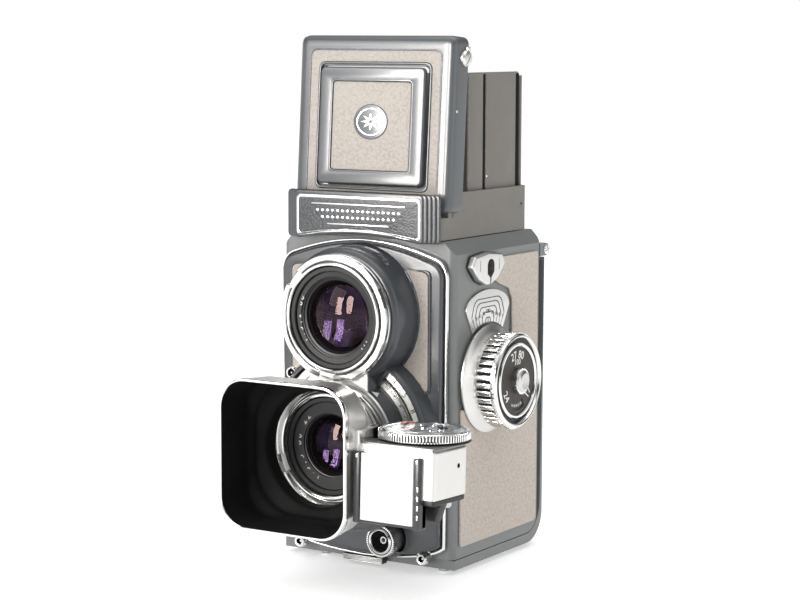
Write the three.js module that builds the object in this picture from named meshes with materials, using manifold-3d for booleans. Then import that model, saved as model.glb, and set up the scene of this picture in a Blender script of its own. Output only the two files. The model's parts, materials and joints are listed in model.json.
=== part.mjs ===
// Small twin lens reflex camera for 4 x 4 cm pictures, with its waist-level hood open,
// a square lens hood on the taking lens and an exposure meter beside it.
// Millimetres. X runs to the right of a person facing the lenses, Y runs to the back, Z runs up.
// While the pieces are made, x = 0 is the plane of the two lens axes, y = 0 the front of the body
// casting and z = 0 the underside of the base. The last lines stand the camera on the ground.

import * as THREE from 'three';
import { mergeVertices } from 'three/addons/utils/BufferGeometryUtils.js';
import Module from 'manifold-3d';

const wasm = await Module();
wasm.setup();

// ---------------------------------------------------------------- driving dimensions

const GAP = 0.3;
const BODY = { half: 32.3, depth: 57.8, top: 103.7, shoulder: 99.5, deck: 28.3, wall: 1.8, corner: 9 };
const DOOR = { top: 94.5, skin: 1.5, base: 3.1, front: 1 };
const DOOR_HINGE = { y: 58.9, z: 97, rod: 1, hole: 1.3, barrel: 2.1 };
const VIEWING = { z: 80, ring: 19.8, bore: 16.2, front: -20, glass: 11.1, barrel: 12.2, lens: 10.7, seat: 4 };
const TAKING = { z: 40, ring: 19.8, bore: 15.6, front: -22.5, glass: 9, lens: 14.3, seat: 2.9 };
const PLATE = { half: 30, front: -4, low: 2.9, side: 9, high: 92.5, shoulder: 97.6, crown: 102.2 };
const COWL = { upper: 21.6, lower: 29.4, front: -16, step: -11.2, seat: 27.8, bore: 20.7 };
const FOCUS = { y: 19.7, z: 59, flange: 17.25, knob: 15.35, face: 44.6, shaft: 3 };
const WIND = { y: 41, z: 73.5, knob: 13.5, face: -43 };
const SUPPLY = { y: 34, z: 14.8, knob: 6.5, face: -39 };
const SPOOL = { flange: 8.3, core: 3.6, half: 24.5 };
const HOOD_BASE = { half: 28, front: -1.4, back: 53.4, low: 104, high: 118.3, wall: 1.2 };
const LID = { half: 29.3, low: -6, high: 49.4, front: -3.35, rim: 4.5, skin: 1.2, lean: 4 };
const LID_ORIGIN = { y: 5.25, z: 117.65 };
const LID_HINGE = { y: -0.61, z: -0.83 };
const FLAP = { half: 19.5, low: 2.2, high: 39.3, skin: 1.6 };
const LEAF = { x: 26.2, thick: 0.8, high: 155.5 };
const LENS_HOOD = { half: 23.4, low: 16, high: 64, front: -47.5, neck: -28.5, back: -23.4, wall: 1 };
const METER = { left: 23.9, right: 50.5, front: -41, back: -16, low: 29.4, high: 46.6, pitch: -2 };
const METER_DIAL = { x: 37.6, y: -25.9, low: 47, high: 50.6, radius: 14 };
const LUG = { y: 17, z: 94.3, half: 10.2, rise: 5.1, proud: 2.7 };
const KEYHOLE = { y: 18, half: 2.1, low: 91.2, high: 97.2 };
const SOCKET = { x: -22.4, z: 59.8, radius: 2, front: -10 };
const STUD = { x: 23.3, z: 3.6, radius: 2, front: -4.6 };
const RELEASE = { x: 11.5, z: 9, radius: 5.2 };
const FEET = { low: -1.7, radius: 1.8 };

const degrees = THREE.MathUtils.degToRad;

// ---------------------------------------------------------------- finishes

const FINISHES = {
  body_paint: { color: 0x7a8080, roughness: 0.45, metalness: 0.2 },
  lid_paint: { color: 0x676d70, roughness: 0.3, metalness: 0.2 },
  front_paint: { color: 0x454b50, roughness: 0.3, metalness: 0.2 },
  hood_paint: { color: 0x7d7870, roughness: 0.6, metalness: 0.1 },
  leatherette: { color: 0xbdb2a5, roughness: 0.85, metalness: 0 },
  chrome: { color: 0xd8d8d6, roughness: 0.15, metalness: 1 },
  satin: { color: 0xc6c6c2, roughness: 0.38, metalness: 1 },
  black_metal: { color: 0x17171a, roughness: 0.45, metalness: 0.3 },
  steel: { color: 0xa7a8a8, roughness: 0.35, metalness: 1 },
  lens_glass: { color: 0x352c44, roughness: 0.05, metalness: 0 },
  screen_glass: { color: 0xb9c0c2, roughness: 0.4, metalness: 0 },
  mirror_glass: { color: 0xd5dadd, roughness: 0.05, metalness: 1 },
  white_plastic: { color: 0xf2f2ee, roughness: 0.5, metalness: 0 },
};

const camera = new THREE.Group();

function piece(name, finish, geometry, parent = camera) {
  const mesh = new THREE.Mesh(closed(geometry), new THREE.MeshStandardMaterial(FINISHES[finish]));
  mesh.name = name;
  parent.add(mesh);
  return mesh;
}

// ---------------------------------------------------------------- solids

// Keeps the positions only, merges shared corners, drops collapsed triangles and turns faces out.
function closed(geometry) {
  const bare = new THREE.BufferGeometry();
  bare.setAttribute('position', geometry.getAttribute('position').clone());
  bare.setIndex(geometry.index);
  const merged = mergeVertices(bare, 1e-3);
  const place = merged.getAttribute('position');
  const corners = merged.index.array;
  const kept = [];
  const [p, q, r] = [new THREE.Vector3(), new THREE.Vector3(), new THREE.Vector3()];
  let volume = 0;
  for (let i = 0; i < corners.length; i += 3) {
    const [a, b, c] = [corners[i], corners[i + 1], corners[i + 2]];
    if (a === b || b === c || c === a) continue;
    kept.push(a, b, c);
    p.fromBufferAttribute(place, a);
    q.fromBufferAttribute(place, b);
    r.fromBufferAttribute(place, c);
    volume += p.dot(q.cross(r));
  }
  merged.setIndex(volume < 0 ? kept.reverse() : kept);
  return merged;
}

function solid(geometry) {
  const shell = closed(geometry);
  return new wasm.Manifold(new wasm.Mesh({
    numProp: 3,
    vertProperties: new Float32Array(shell.getAttribute('position').array),
    triVerts: new Uint32Array(shell.index.array),
  }));
}

function geometryOf(manifold) {
  const mesh = manifold.getMesh();
  const geometry = new THREE.BufferGeometry();
  geometry.setAttribute('position', new THREE.BufferAttribute(mesh.vertProperties, 3));
  geometry.setIndex(new THREE.BufferAttribute(mesh.triVerts, 1));
  return geometry;
}

// Takes tools from a solid, adds solids up, or keeps only what they share.
function combine(method, first, others) {
  const result = others.reduce((sum, other) => sum[method](solid(other)), solid(first));
  return geometryOf(result);
}

const cut = (base, ...tools) => combine('subtract', base, tools);
const join = (first, ...others) => combine('add', first, others);
const common = (first, ...others) => combine('intersect', first, others);

// ---------------------------------------------------------------- outlines

function outline(points, ...holes) {
  const shape = new THREE.Shape(points.map(([a, b]) => new THREE.Vector2(a, b)));
  shape.holes.push(...holes);
  return shape;
}

function disc(radius, a = 0, b = 0) {
  return new THREE.Shape().absarc(a, b, radius, 0, 2 * Math.PI, false);
}

function annulus(outer, inner, a = 0, b = 0) {
  const shape = disc(outer, a, b);
  shape.holes.push(disc(inner, a, b));
  return shape;
}

function roundedRectangle(a0, a1, b0, b1, radius) {
  const shape = new THREE.Shape();
  shape.absarc(a1 - radius, b0 + radius, radius, -Math.PI / 2, 0, false);
  shape.absarc(a1 - radius, b1 - radius, radius, 0, Math.PI / 2, false);
  shape.absarc(a0 + radius, b1 - radius, radius, Math.PI / 2, Math.PI, false);
  shape.absarc(a0 + radius, b0 + radius, radius, Math.PI, 1.5 * Math.PI, false);
  shape.closePath();
  return shape;
}

// A round outline with straight ribs along its rim.
function knurled(radius, depth, ribs) {
  const points = [];
  for (let rib = 0; rib < ribs; rib += 1) {
    for (const [part, inset] of [[0, depth], [0.2, 0], [0.6, 0], [0.8, depth]]) {
      const angle = (2 * Math.PI * (rib + part)) / ribs;
      points.push([(radius - inset) * Math.cos(angle), (radius - inset) * Math.sin(angle)]);
    }
  }
  return outline(points);
}

// ---------------------------------------------------------------- plates and turned pieces

function extruded(shape, depth, curveSegments) {
  return new THREE.ExtrudeGeometry(shape, { depth, bevelEnabled: false, curveSegments });
}

// The outline's axes are (y, z), (x, z) and (x, y) in turn.
function alongX(shape, x0, x1, segments = 8) {
  const geometry = extruded(shape, x1 - x0, segments);
  geometry.applyMatrix4(new THREE.Matrix4().set(0, 0, 1, x0, 1, 0, 0, 0, 0, 1, 0, 0, 0, 0, 0, 1));
  return geometry;
}

function alongY(shape, y0, y1, segments = 8) {
  return extruded(shape, y1 - y0, segments).rotateX(Math.PI / 2).translate(0, y1, 0);
}

function alongZ(shape, z0, z1, segments = 8) {
  return extruded(shape, z1 - z0, segments).translate(0, 0, z0);
}

function block(x0, x1, y0, y1, z0, z1) {
  const geometry = new THREE.BoxGeometry(x1 - x0, y1 - y0, z1 - z0);
  return geometry.translate((x0 + x1) / 2, (y0 + y1) / 2, (z0 + z1) / 2);
}

// A profile is a list of [radius, place along the axis], from axis to axis or closed on itself.
function turned(profile, segments = 28) {
  const points = profile.map(([radius, place]) => new THREE.Vector2(radius, place));
  return new THREE.LatheGeometry(points, segments);
}

function turnedX(profile, y, z, segments) {
  return turned(profile, segments).rotateZ(-Math.PI / 2).translate(0, y, z);
}

function turnedY(profile, x, z, segments) {
  return turned(profile, segments).translate(x, 0, z);
}

function turnedZ(profile, x, y, segments) {
  return turned(profile, segments).rotateX(Math.PI / 2).translate(x, y, 0);
}

// Profiles of a solid round bar and of a ring, with a chamfer on the outer edges.
function bar(radius, from, to, chamfer = 0.3) {
  const c = chamfer * Math.sign(to - from);
  return [
    [0, from], [radius - chamfer, from], [radius, from + c],
    [radius, to - c], [radius - chamfer, to], [0, to],
  ];
}

function ring(outer, inner, from, to, chamfer = 0.3) {
  const c = chamfer * Math.sign(to - from);
  return [
    [inner, from], [outer - chamfer, from], [outer, from + c], [outer, to - c],
    [outer - chamfer, to], [inner, to], [inner, from],
  ];
}

// A tube wall through a closed loop of sections, each a rounded rectangle at its own y.
function lofted(sections, x, z, perCorner = 6) {
  const ringSize = perCorner * 4;
  const positions = [];
  const corners = [];
  for (const { y, half, radius } of sections) {
    for (let corner = 0; corner < 4; corner += 1) {
      for (let step = 0; step < perCorner; step += 1) {
        const angle = (Math.PI / 2) * (corner + step / (perCorner - 1));
        const reach = half - radius;
        const a = reach * Math.sign(Math.cos((Math.PI / 2) * (corner + 0.5))) + radius * Math.cos(angle);
        const b = reach * Math.sign(Math.sin((Math.PI / 2) * (corner + 0.5))) + radius * Math.sin(angle);
        positions.push(x + a, y, z + b);
      }
    }
  }
  for (let section = 0; section < sections.length; section += 1) {
    const next = (section + 1) % sections.length;
    for (let step = 0; step < ringSize; step += 1) {
      const [a, b] = [section * ringSize + step, section * ringSize + ((step + 1) % ringSize)];
      const [c, d] = [next * ringSize + step, next * ringSize + ((step + 1) % ringSize)];
      corners.push(a, b, d, a, d, c);
    }
  }
  const geometry = new THREE.BufferGeometry();
  geometry.setAttribute('position', new THREE.Float32BufferAttribute(positions, 3));
  geometry.setIndex(corners);
  return closed(geometry);
}

const mirrored = (sides, make) => Object.entries(sides).forEach(([side, sign]) => make(side, sign));
const SIDES = { right: 1, left: -1 };

// ---------------------------------------------------------------- body casting

// The casting is open at the back and below, where the door closes it.
function bodyShell() {
  const { half, top, shoulder, deck, wall, corner } = BODY;
  const back = BODY.depth - DOOR.skin - GAP;
  const low = DOOR.base + GAP;
  const sideOutline = new THREE.Shape([new THREE.Vector2(0, top), new THREE.Vector2(0, low)]);
  sideOutline.absarc(back - corner, low + corner, corner, -Math.PI / 2, 0, false);
  sideOutline.lineTo(back, top);
  const frontOutline = outline([
    [-half, low], [half, low], [half, shoulder], [deck, top], [-deck, top], [-half, shoulder],
  ]);
  const plan = roundedRectangle(-half, half, 0, back, 2.5);
  const outer = common(
    alongX(sideOutline, -half, half, 8),
    alongY(frontOutline, 0, back),
    alongZ(plan, low, top, 5),
  );
  // The cavity's roof slopes with the casting's, one wall below it.
  const slope = (top - shoulder) / (half - deck);
  const inner = half - wall;
  const eaves = shoulder + wall * slope - wall * Math.hypot(1, slope);
  const ridge = inner - (top - wall - eaves) / slope;
  const cavityOutline = outline([
    [-inner, low - 5], [inner, low - 5], [inner, eaves],
    [ridge, top - wall], [-ridge, top - wall], [-inner, eaves],
  ]);
  // A lintel closes the top of the back, in front of the door's hinge.
  const doorway = block(-inner, inner, back - wall - 1, back + 5, low - 5, DOOR_HINGE.z);
  const inside = join(alongY(cavityOutline, 2, back - wall), doorway);
  const viewingHole = alongY(disc(15, 0, VIEWING.z), -1, 3, 12);
  const takingHole = alongY(disc(16, 0, TAKING.z), -1, 3, 12);
  const screenHole = block(-21, 21, 6, 49, top - wall - 1, top + 1);
  const focusHole = alongX(disc(FOCUS.shaft + GAP, FOCUS.y, FOCUS.z), half - 4, half + 1, 6);
  const windHole = alongX(disc(FOCUS.shaft + GAP, WIND.y, WIND.z), -half - 1, -half + 4, 6);
  const supplyHole = alongX(disc(FOCUS.shaft + GAP, SUPPLY.y, SUPPLY.z), -half - 1, -half + 4, 6);
  let shell = cut(outer, inside, viewingHole, takingHole, screenHole, focusHole, windHole, supplyHole);
  // An ear on each side carries the end of the door's hinge rod.
  const { y, z, hole, barrel } = DOOR_HINGE;
  mirrored(SIDES, (side, sign) => {
    const [x0, x1] = sign > 0 ? [half - 4.3, half] : [-half, -half + 4.3];
    const eye = alongX(disc(barrel, y, z), x0, x1, 8);
    const webOutline = outline([
      [back - 1, z - barrel], [y, z - barrel], [y, z + barrel], [back - 1, z + barrel],
    ]);
    const web = alongX(webOutline, x0, x1);
    const bore = alongX(disc(hole, y, z), x0 - 1, x1 + 1, 8);
    shell = cut(join(shell, eye, web), bore);
  });
  return shell;
}

piece('body_shell', 'body_paint', bodyShell());

const rod = bar(DOOR_HINGE.rod, -BODY.half, BODY.half, 0.2);
piece('hinge_rod', 'chrome', turnedX(rod, DOOR_HINGE.y, DOOR_HINGE.z, 12));

function filmGate() {
  const plate = alongY(roundedRectangle(-29, 29, 16, 64, 1), 49, 50.4, 3);
  return cut(plate, alongY(roundedRectangle(-20.5, 20.5, TAKING.z - 20.5, TAKING.z + 20.5, 1), 48, 52, 3));
}

piece('film_gate', 'black_metal', filmGate());

// The mirror lies at 45 degrees on the viewing lens's axis and turns the picture up to the screen.
const mirror = piece('reflex_mirror', 'mirror_glass', block(-20, 20, -25, 23, -1.2, 0));
mirror.rotation.x = degrees(45);
mirror.position.set(0, 27, VIEWING.z);

piece('focusing_screen', 'screen_glass', block(-22.5, 22.5, 5, 50, BODY.top + GAP, BODY.top + 2));

for (const [place, z] of [['upper', 66.8], ['lower', 12.5]]) {
  piece(`film_roller_${place}`, 'steel', turnedX(bar(2, -29.5, 29.5), 50.8, z, 14));
}

// ---------------------------------------------------------------- spools and winding

function spool(y, z) {
  const { flange, core, half } = SPOOL;
  return turnedX([
    [0, -half], [flange, -half], [flange, 0.9 - half], [core, 0.9 - half],
    [core, half - 0.9], [flange, half - 0.9], [flange, half], [0, half],
  ], y, z, 18);
}

piece('take_up_spool', 'black_metal', spool(WIND.y, WIND.z));
piece('supply_spool', 'black_metal', spool(SUPPLY.y, SUPPLY.z));

// A ribbed knob on the left side, with the shaft that reaches a spool's end.
function spoolKnob({ knob, face, y, z }, depth, ribs) {
  const rim = alongX(knurled(knob, depth, ribs), face, -BODY.half - 1.2).translate(0, y, z);
  const shaft = turnedX(bar(FOCUS.shaft, -BODY.half - 2, -SPOOL.half - GAP, 0.2), y, z, 20);
  return join(rim, shaft);
}

// The film is wound with the larger knob, which keys into the take-up spool.
function windKnob() {
  const { face, y, z } = WIND;
  const dish = turnedX([[0, face - 1], [9.4, face - 1], [8.6, face + 0.8], [0, face + 0.8]], y, z, 20);
  return cut(spoolKnob(WIND, 0.6, 24), dish);
}

piece('wind_knob', 'satin', windKnob());
piece('supply_knob', 'satin', spoolKnob(SUPPLY, 0.4, 14));

// ---------------------------------------------------------------- side coverings and fittings

const COVER = { low: 7.1, high: 97, front: 3.4, back: 52.2, thick: 0.5 };

function sideCover(points, sign) {
  const start = sign > 0 ? BODY.half + GAP : -BODY.half - GAP - COVER.thick;
  return alongX(outline(points), start, start + COVER.thick, 10);
}

// The right cover leaves bare metal round the focusing knob's scale and the strap lug.
function rightCover() {
  const { front, low, back, high } = COVER;
  const cover = sideCover([
    [front, low], [back, low], [back, high], [28.4, high], [24.5, 91.8], [26.5, 88.8], [33, 86.5],
    [35.2, 83], [35.2, FOCUS.z - 8], [FOCUS.y, FOCUS.z - 12], [front, FOCUS.z - 8],
  ], 1);
  return cut(cover, alongX(lugOutline(GAP), BODY.half, BODY.half + 2));
}

piece('leather_right', 'leatherette', rightCover());

function leftCover() {
  const { front, low, back, high } = COVER;
  const cover = sideCover([[front, low], [back, low], [back, high], [front, high]], -1);
  const [x0, x1] = [-BODY.half - 2, -BODY.half];
  const windSeat = alongX(disc(WIND.knob + 0.6, WIND.y, WIND.z), x0, x1, 12);
  const supplySeat = alongX(disc(SUPPLY.knob + 0.6, SUPPLY.y, SUPPLY.z), x0, x1, 12);
  return cut(cover, windSeat, supplySeat, alongX(lugOutline(GAP), x0, x1));
}

piece('leather_left', 'leatherette', leftCover());

// The lug's outline on the side of the body: a shield that narrows downward.
function lugOutline(grow) {
  const [half, rise] = [LUG.half + grow, LUG.rise + grow];
  const side = [[1.6, -rise], [5.8, -3.4 - grow], [half, 1], [8.4 + grow, 4.2]];
  const shield = [...side, [0, rise], ...side.toReversed().map(([y, z]) => [-y, z])];
  return outline(shield.map(([y, z]) => [LUG.y + y, LUG.z + z]));
}

function strapLug(sign) {
  const lug = lugOutline(0);
  const { y, half, low, high } = KEYHOLE;
  lug.holes.push(roundedRectangle(y - half, y + half, low, high, half - 0.1));
  const [near, far] = [BODY.half + GAP, BODY.half + LUG.proud];
  return sign > 0 ? alongX(lug, near, far, 8) : alongX(lug, -far, -near, 8);
}

mirrored(SIDES, (side, sign) => piece(`strap_lug_${side}`, 'chrome', strapLug(sign)));

// A plate above the focusing knob shows the depth of field; it spreads upward and has a domed top.
const SCALE = { foot: 9.5, flare: 13.6, shoulder: 11.5, inner: 18, low: 22.5, high: 26.6 };

function depthScale() {
  const { foot, flare, shoulder, inner, low, high } = SCALE;
  const base = Math.sqrt(inner ** 2 - foot ** 2);
  const spread = Math.atan2(foot, base);
  const fan = new THREE.Shape();
  fan.moveTo(foot, base);
  fan.lineTo(flare, low);
  fan.quadraticCurveTo(flare + 1.3, high - 1.4, shoulder, high);
  fan.quadraticCurveTo(0, high + 3.6, -shoulder, high);
  fan.quadraticCurveTo(-flare - 1.3, high - 1.4, -flare, low);
  fan.lineTo(-foot, base);
  fan.absarc(0, 0, inner, Math.PI / 2 + spread, Math.PI / 2 - spread, true);
  const plate = alongX(fan, BODY.half + GAP, BODY.half + 0.8, 8);
  return plate.translate(0, FOCUS.y, FOCUS.z);
}

piece('depth_scale', 'satin', depthScale());

// ---------------------------------------------------------------- focusing knob

const flangeProfile = [
  [4, 33.2], [FOCUS.flange - 0.5, 33.2], [FOCUS.flange, 33.6], [FOCUS.flange, 34.1],
  [15, 35.6], [13.2, 37], [4, 37], [4, 33.2],
];

function focusKnob() {
  const rim = alongX(knurled(FOCUS.knob, 0.6, 30), 37.4, FOCUS.face).translate(0, FOCUS.y, FOCUS.z);
  const well = turnedX(bar(11.2, FOCUS.face - 1.5, FOCUS.face + 1, 0), FOCUS.y, FOCUS.z, 32);
  const bore = turnedX(bar(FOCUS.shaft + GAP, 37, FOCUS.face + 1, 0), FOCUS.y, FOCUS.z, 20);
  return cut(rim, well, bore);
}

piece('focus_flange', 'satin', turnedX(flangeProfile, FOCUS.y, FOCUS.z, 32));
piece('focus_knob', 'satin', focusKnob());

// The shaft carries the heart-shaped cam that pushes the front of the camera out.
function focusShaft() {
  const shaft = turnedX(bar(FOCUS.shaft, 21, 42.4, 0.2), FOCUS.y, FOCUS.z, 20);
  const cam = alongX(disc(7.5, 0, 0), 23, 26, 12).translate(0, FOCUS.y + 2, FOCUS.z);
  return join(shaft, cam);
}

piece('focus_shaft', 'steel', focusShaft());

function filmSpeedDial() {
  return turnedX([
    [0, FOCUS.face - 1.1], [10.8, FOCUS.face - 1.1], [10.8, FOCUS.face - 0.3], [4.3, FOCUS.face - 0.3],
    [4.2, FOCUS.face + 1.7], [3.7, FOCUS.face + 2.1], [0, FOCUS.face + 2.1],
  ], FOCUS.y, FOCUS.z, 24);
}

piece('film_speed_dial', 'black_metal', filmSpeedDial());

// ---------------------------------------------------------------- front standard

// The standard's outline: straight sides, a bulging lower edge and an arched top.
function plateOutline(inset) {
  const half = PLATE.half - inset;
  const shape = new THREE.Shape();
  shape.moveTo(0, PLATE.low + inset);
  shape.quadraticCurveTo(half - 4, PLATE.low + inset + 0.8, half, PLATE.side + inset);
  shape.lineTo(half, PLATE.high);
  shape.quadraticCurveTo(half - 0.6, PLATE.shoulder - inset - 1, half - 5, PLATE.shoulder - inset);
  shape.quadraticCurveTo(half * 0.4, PLATE.crown - inset, 0, PLATE.crown - inset);
  shape.quadraticCurveTo(-half * 0.4, PLATE.crown - inset, 5 - half, PLATE.shoulder - inset);
  shape.quadraticCurveTo(0.6 - half, PLATE.shoulder - inset - 1, -half, PLATE.high);
  shape.lineTo(-half, PLATE.side + inset);
  shape.quadraticCurveTo(4 - half, PLATE.low + inset + 0.8, 0, PLATE.low + inset);
  return shape;
}

// Discs about the two studs below the corners of the plate.
function studDiscs(radius, y0, y1) {
  return [1, -1].map((sign) => alongY(disc(radius, sign * STUD.x, STUD.z), y0, y1, 6));
}

// The setting rings show through a curved window on each side.
function ringWindow(sign) {
  const [from, to] = sign > 0 ? [degrees(-20), degrees(58)] : [degrees(122), degrees(200)];
  const shape = new THREE.Shape();
  shape.absarc(0, TAKING.z, COWL.seat, from, to, false);
  shape.absarc(0, TAKING.z, COWL.bore - 1, to, from, true);
  return shape;
}

// A round cowling rises from the plate about each lens, and the two run into each other.
function frontPlate() {
  const plate = alongY(plateOutline(0), PLATE.front, -GAP, 6);
  const lower = alongY(disc(COWL.lower, 0, TAKING.z), COWL.step, -1, 16);
  const upper = alongY(disc(COWL.upper, 0, VIEWING.z), COWL.front, -1, 14);
  const viewingBore = alongY(disc(VIEWING.barrel + GAP, 0, VIEWING.z), -40, 1, 16);
  const takingBore = alongY(disc(COWL.bore, 0, TAKING.z), -40, 1, 16);
  const ringSeat = alongY(annulus(COWL.seat, COWL.bore - 1, 0, TAKING.z), -10.3, -6.4, 16);
  const releaseHole = alongY(disc(RELEASE.radius + GAP, RELEASE.x, RELEASE.z), -40, 1, 10);
  const socketHole = alongY(disc(SOCKET.radius + GAP, SOCKET.x, SOCKET.z), -40, 1, 6);
  const windows = [1, -1].map((sign) => alongY(ringWindow(sign), -20, -10, 12));
  const studRooms = studDiscs(STUD.radius + 1.1 + GAP, -40, 1);
  return cut(
    join(plate, lower, upper),
    viewingBore, takingBore, ringSeat, releaseHole, socketHole, ...studRooms, ...windows,
  );
}

piece('front_plate', 'front_paint', frontPlate());

// A bright strip edges the plate and dips round the two studs.
function frontTrim() {
  const [y0, y1] = [PLATE.front + 1.6, -GAP - 0.6];
  const edge = plateOutline(-1);
  edge.holes.push(plateOutline(-GAP));
  const inside = alongY(plateOutline(-1), y0, y1, 6);
  const dips = studDiscs(STUD.radius + 1.1, y0, y1).map((disk) => common(disk, inside));
  return cut(join(alongY(edge, y0, y1, 6), ...dips), ...studDiscs(STUD.radius + GAP, y0 - 1, y1 + 1));
}

piece('front_trim', 'chrome', frontTrim());

// Leather fills the plate's upper corners, between its frame and the cowling.
function frontLeather(sign) {
  const corners = [[0, 96.4], [25.6, 94.2], [25.6, 56], [24.6, 54.6], [14, 63.6], [0, 63.6]];
  const panel = outline(corners.map(([x, z]) => [sign * x, z]));
  const seat = alongY(panel, PLATE.front - GAP - 0.5, PLATE.front - GAP);
  return cut(
    seat,
    alongY(disc(COWL.upper + 1, 0, VIEWING.z), -20, 0, 24),
    alongY(disc(COWL.lower + 0.8, 0, TAKING.z), -20, 0, 24),
    alongY(disc(SOCKET.radius + GAP, SOCKET.x, SOCKET.z), -20, 0, 6),
    block(-12.4, 12.4, -20, 0, 50, 100),
  );
}

mirrored(SIDES, (side, sign) => piece(`leather_front_${side}`, 'leatherette', frontLeather(sign)));

// A bayonet ring with three notches and a fluted barrel that reaches into the body.
function viewingRing() {
  const { z, ring: outer, bore, front, barrel } = VIEWING;
  const back = 6;
  const mount = turnedY([
    [bore, front], [outer - 0.6, front], [outer, front + 0.6], [outer, front + 3.6],
    [outer - 1.6, front + 3.6], [bore + 1.4, COWL.front - GAP], [barrel, COWL.front - GAP],
    [barrel, back], [barrel - 1.2, back], [barrel - 1.2, front + 4.4], [bore, front + 3.4], [bore, front],
  ], 0, z, 30);
  const notches = [20, 140, 260].map((angle) => {
    const notch = block(outer - 1, outer + 1, front - 1, front + 1.2, -3, 3);
    return notch.rotateY(degrees(angle)).translate(0, 0, z);
  });
  return cut(mount, ...notches);
}

piece('viewing_lens_ring', 'chrome', viewingRing());

// The inner mount and the front element, crowned towards the front.
function lensGlass({ z, bore, front, glass, lens, seat }, back) {
  const inner = bore - GAP;
  return turnedY([
    [0, back], [lens, back], [lens, front + seat - 0.2], [inner, front + seat - 1], [inner, front + 1.2],
    [inner - 0.8, front + 0.6], [inner - 1.6, front + 1.6],
    [glass + 0.4, front + 4.4], [glass, front + 4.4],
    [glass * 0.7, front + 3.3], [glass * 0.35, front + 2.7], [0, front + 2.5],
  ], 0, z, 28);
}

piece('viewing_lens', 'lens_glass', lensGlass(VIEWING, 4));

function shutterHousing() {
  return turnedY([
    [14.4, 6], [14.4, -1], [20.4, -1], [20.4, -16.4], [15.4, -16.4],
    [15.4, -8], [13.2, -8], [13.2, 6], [14.4, 6],
  ], 0, TAKING.z, 28);
}

piece('shutter_housing', 'satin', shutterHousing());

function takingRing() {
  const { z, ring: outer, bore, front } = TAKING;
  const mount = turnedY([
    [bore, front], [outer - 0.6, front], [outer, front + 0.6], [outer, front + 3.4],
    [outer - 1, front + 3.4], [outer - 1, -16.7], [bore - 1, -16.7],
    [bore - 1, front + 3.4], [bore, front + 2.6], [bore, front],
  ], 0, z, 30);
  const notches = [80, 200, 320].map((angle) => {
    const notch = block(outer - 1, outer + 1, front - 1, front + 1.2, -3, 3);
    return notch.rotateY(degrees(angle)).translate(0, 0, z);
  });
  return cut(mount, ...notches);
}

piece('taking_lens_ring', 'chrome', takingRing());
piece('taking_lens', 'lens_glass', lensGlass(TAKING, -9));

// The two setting rings lie round the shutter, one within the other.
piece('speed_ring', 'satin', turnedY(ring(27.4, 24.4, -9.6, -6.8, 0.4), 0, TAKING.z, 30));
piece('aperture_ring', 'satin', turnedY(ring(24, 21.2, -10, -6.8, 0.4), 0, TAKING.z, 30));


const sleeve = ring(SOCKET.radius, 1.1, SOCKET.front, -0.8, 0.3);
piece('flash_socket', 'chrome', turnedY(sleeve, SOCKET.x, SOCKET.z, 14));

// Two hollow studs stand on the body below the corners of the front.
mirrored(SIDES, (side, sign) => {
  const { x, z, radius, front } = STUD;
  const profile = [
    [0, -GAP], [radius, -GAP], [radius, front + 0.5], [radius - 0.5, front], [1, front], [0, front + 1.5],
  ];
  piece(`corner_stud_${side}`, 'chrome', turnedY(profile, sign * x, z, 14));
});

// The release is a button in a knurled collar, threaded for a cable.
function releaseCollar() {
  const { x, z, radius } = RELEASE;
  const rim = alongY(knurled(radius, 0.35, 18), -10.5, -0.8).translate(x, 0, z);
  return cut(rim, alongY(disc(3.5, x, z), -12, 0, 12));
}

piece('release_collar', 'chrome', releaseCollar());

piece('release_button', 'steel', turnedY([
  [0, -6.6], [1.1, -6.6], [1.1, -10], [2.6, -10], [3.1, -9.4], [3.1, -2.4], [0, -2.4],
], RELEASE.x, RELEASE.z, 20));

// ---------------------------------------------------------------- lens hood and exposure meter

// The square mouth narrows to a round collar that grips the taking lens's bayonet ring.
function lensHood() {
  const { half, front, neck, back, wall } = LENS_HOOD;
  return lofted([
    { y: front, half, radius: 9.5 },
    { y: neck - 6, half: half - 0.6, radius: 11 },
    { y: neck - 1.5, half: half - 1.4, radius: 17 },
    { y: neck + 1.5, half: half - 2.2, radius: half - 2.2 },
    { y: back, half: half - 2.2, radius: half - 2.2 },
    { y: back, half: TAKING.ring + GAP, radius: TAKING.ring + GAP },
    { y: TAKING.front - 1, half: TAKING.ring + GAP, radius: TAKING.ring + GAP },
    { y: TAKING.front - 1.3, half: 18, radius: 18 },
    { y: neck, half: 18, radius: 18 },
    { y: neck - 2.5, half: half - 3, radius: 15 },
    { y: neck - 6.5, half: half - 0.7 - wall, radius: 10 },
    { y: front, half: half - wall, radius: 8.5 },
  ], 0, TAKING.z);
}

piece('lens_hood', 'satin', lensHood());

// The meter stands beside the hood, with its back a little lower than its front.
const meter = new THREE.Group();
meter.position.set(METER_DIAL.x, METER_DIAL.y, METER_DIAL.low);
meter.rotation.x = degrees(METER.pitch);
camera.add(meter);

// Moves a solid made in the camera's place into the meter's own leaning frame.
const inMeter = (geometry) => geometry.translate(-METER_DIAL.x, -METER_DIAL.y, -METER_DIAL.low);

const DIFFUSER = { left: 26.2, right: 44.6, front: -43.2, low: 23.4, high: 43.6, thick: 1.6 };

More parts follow.
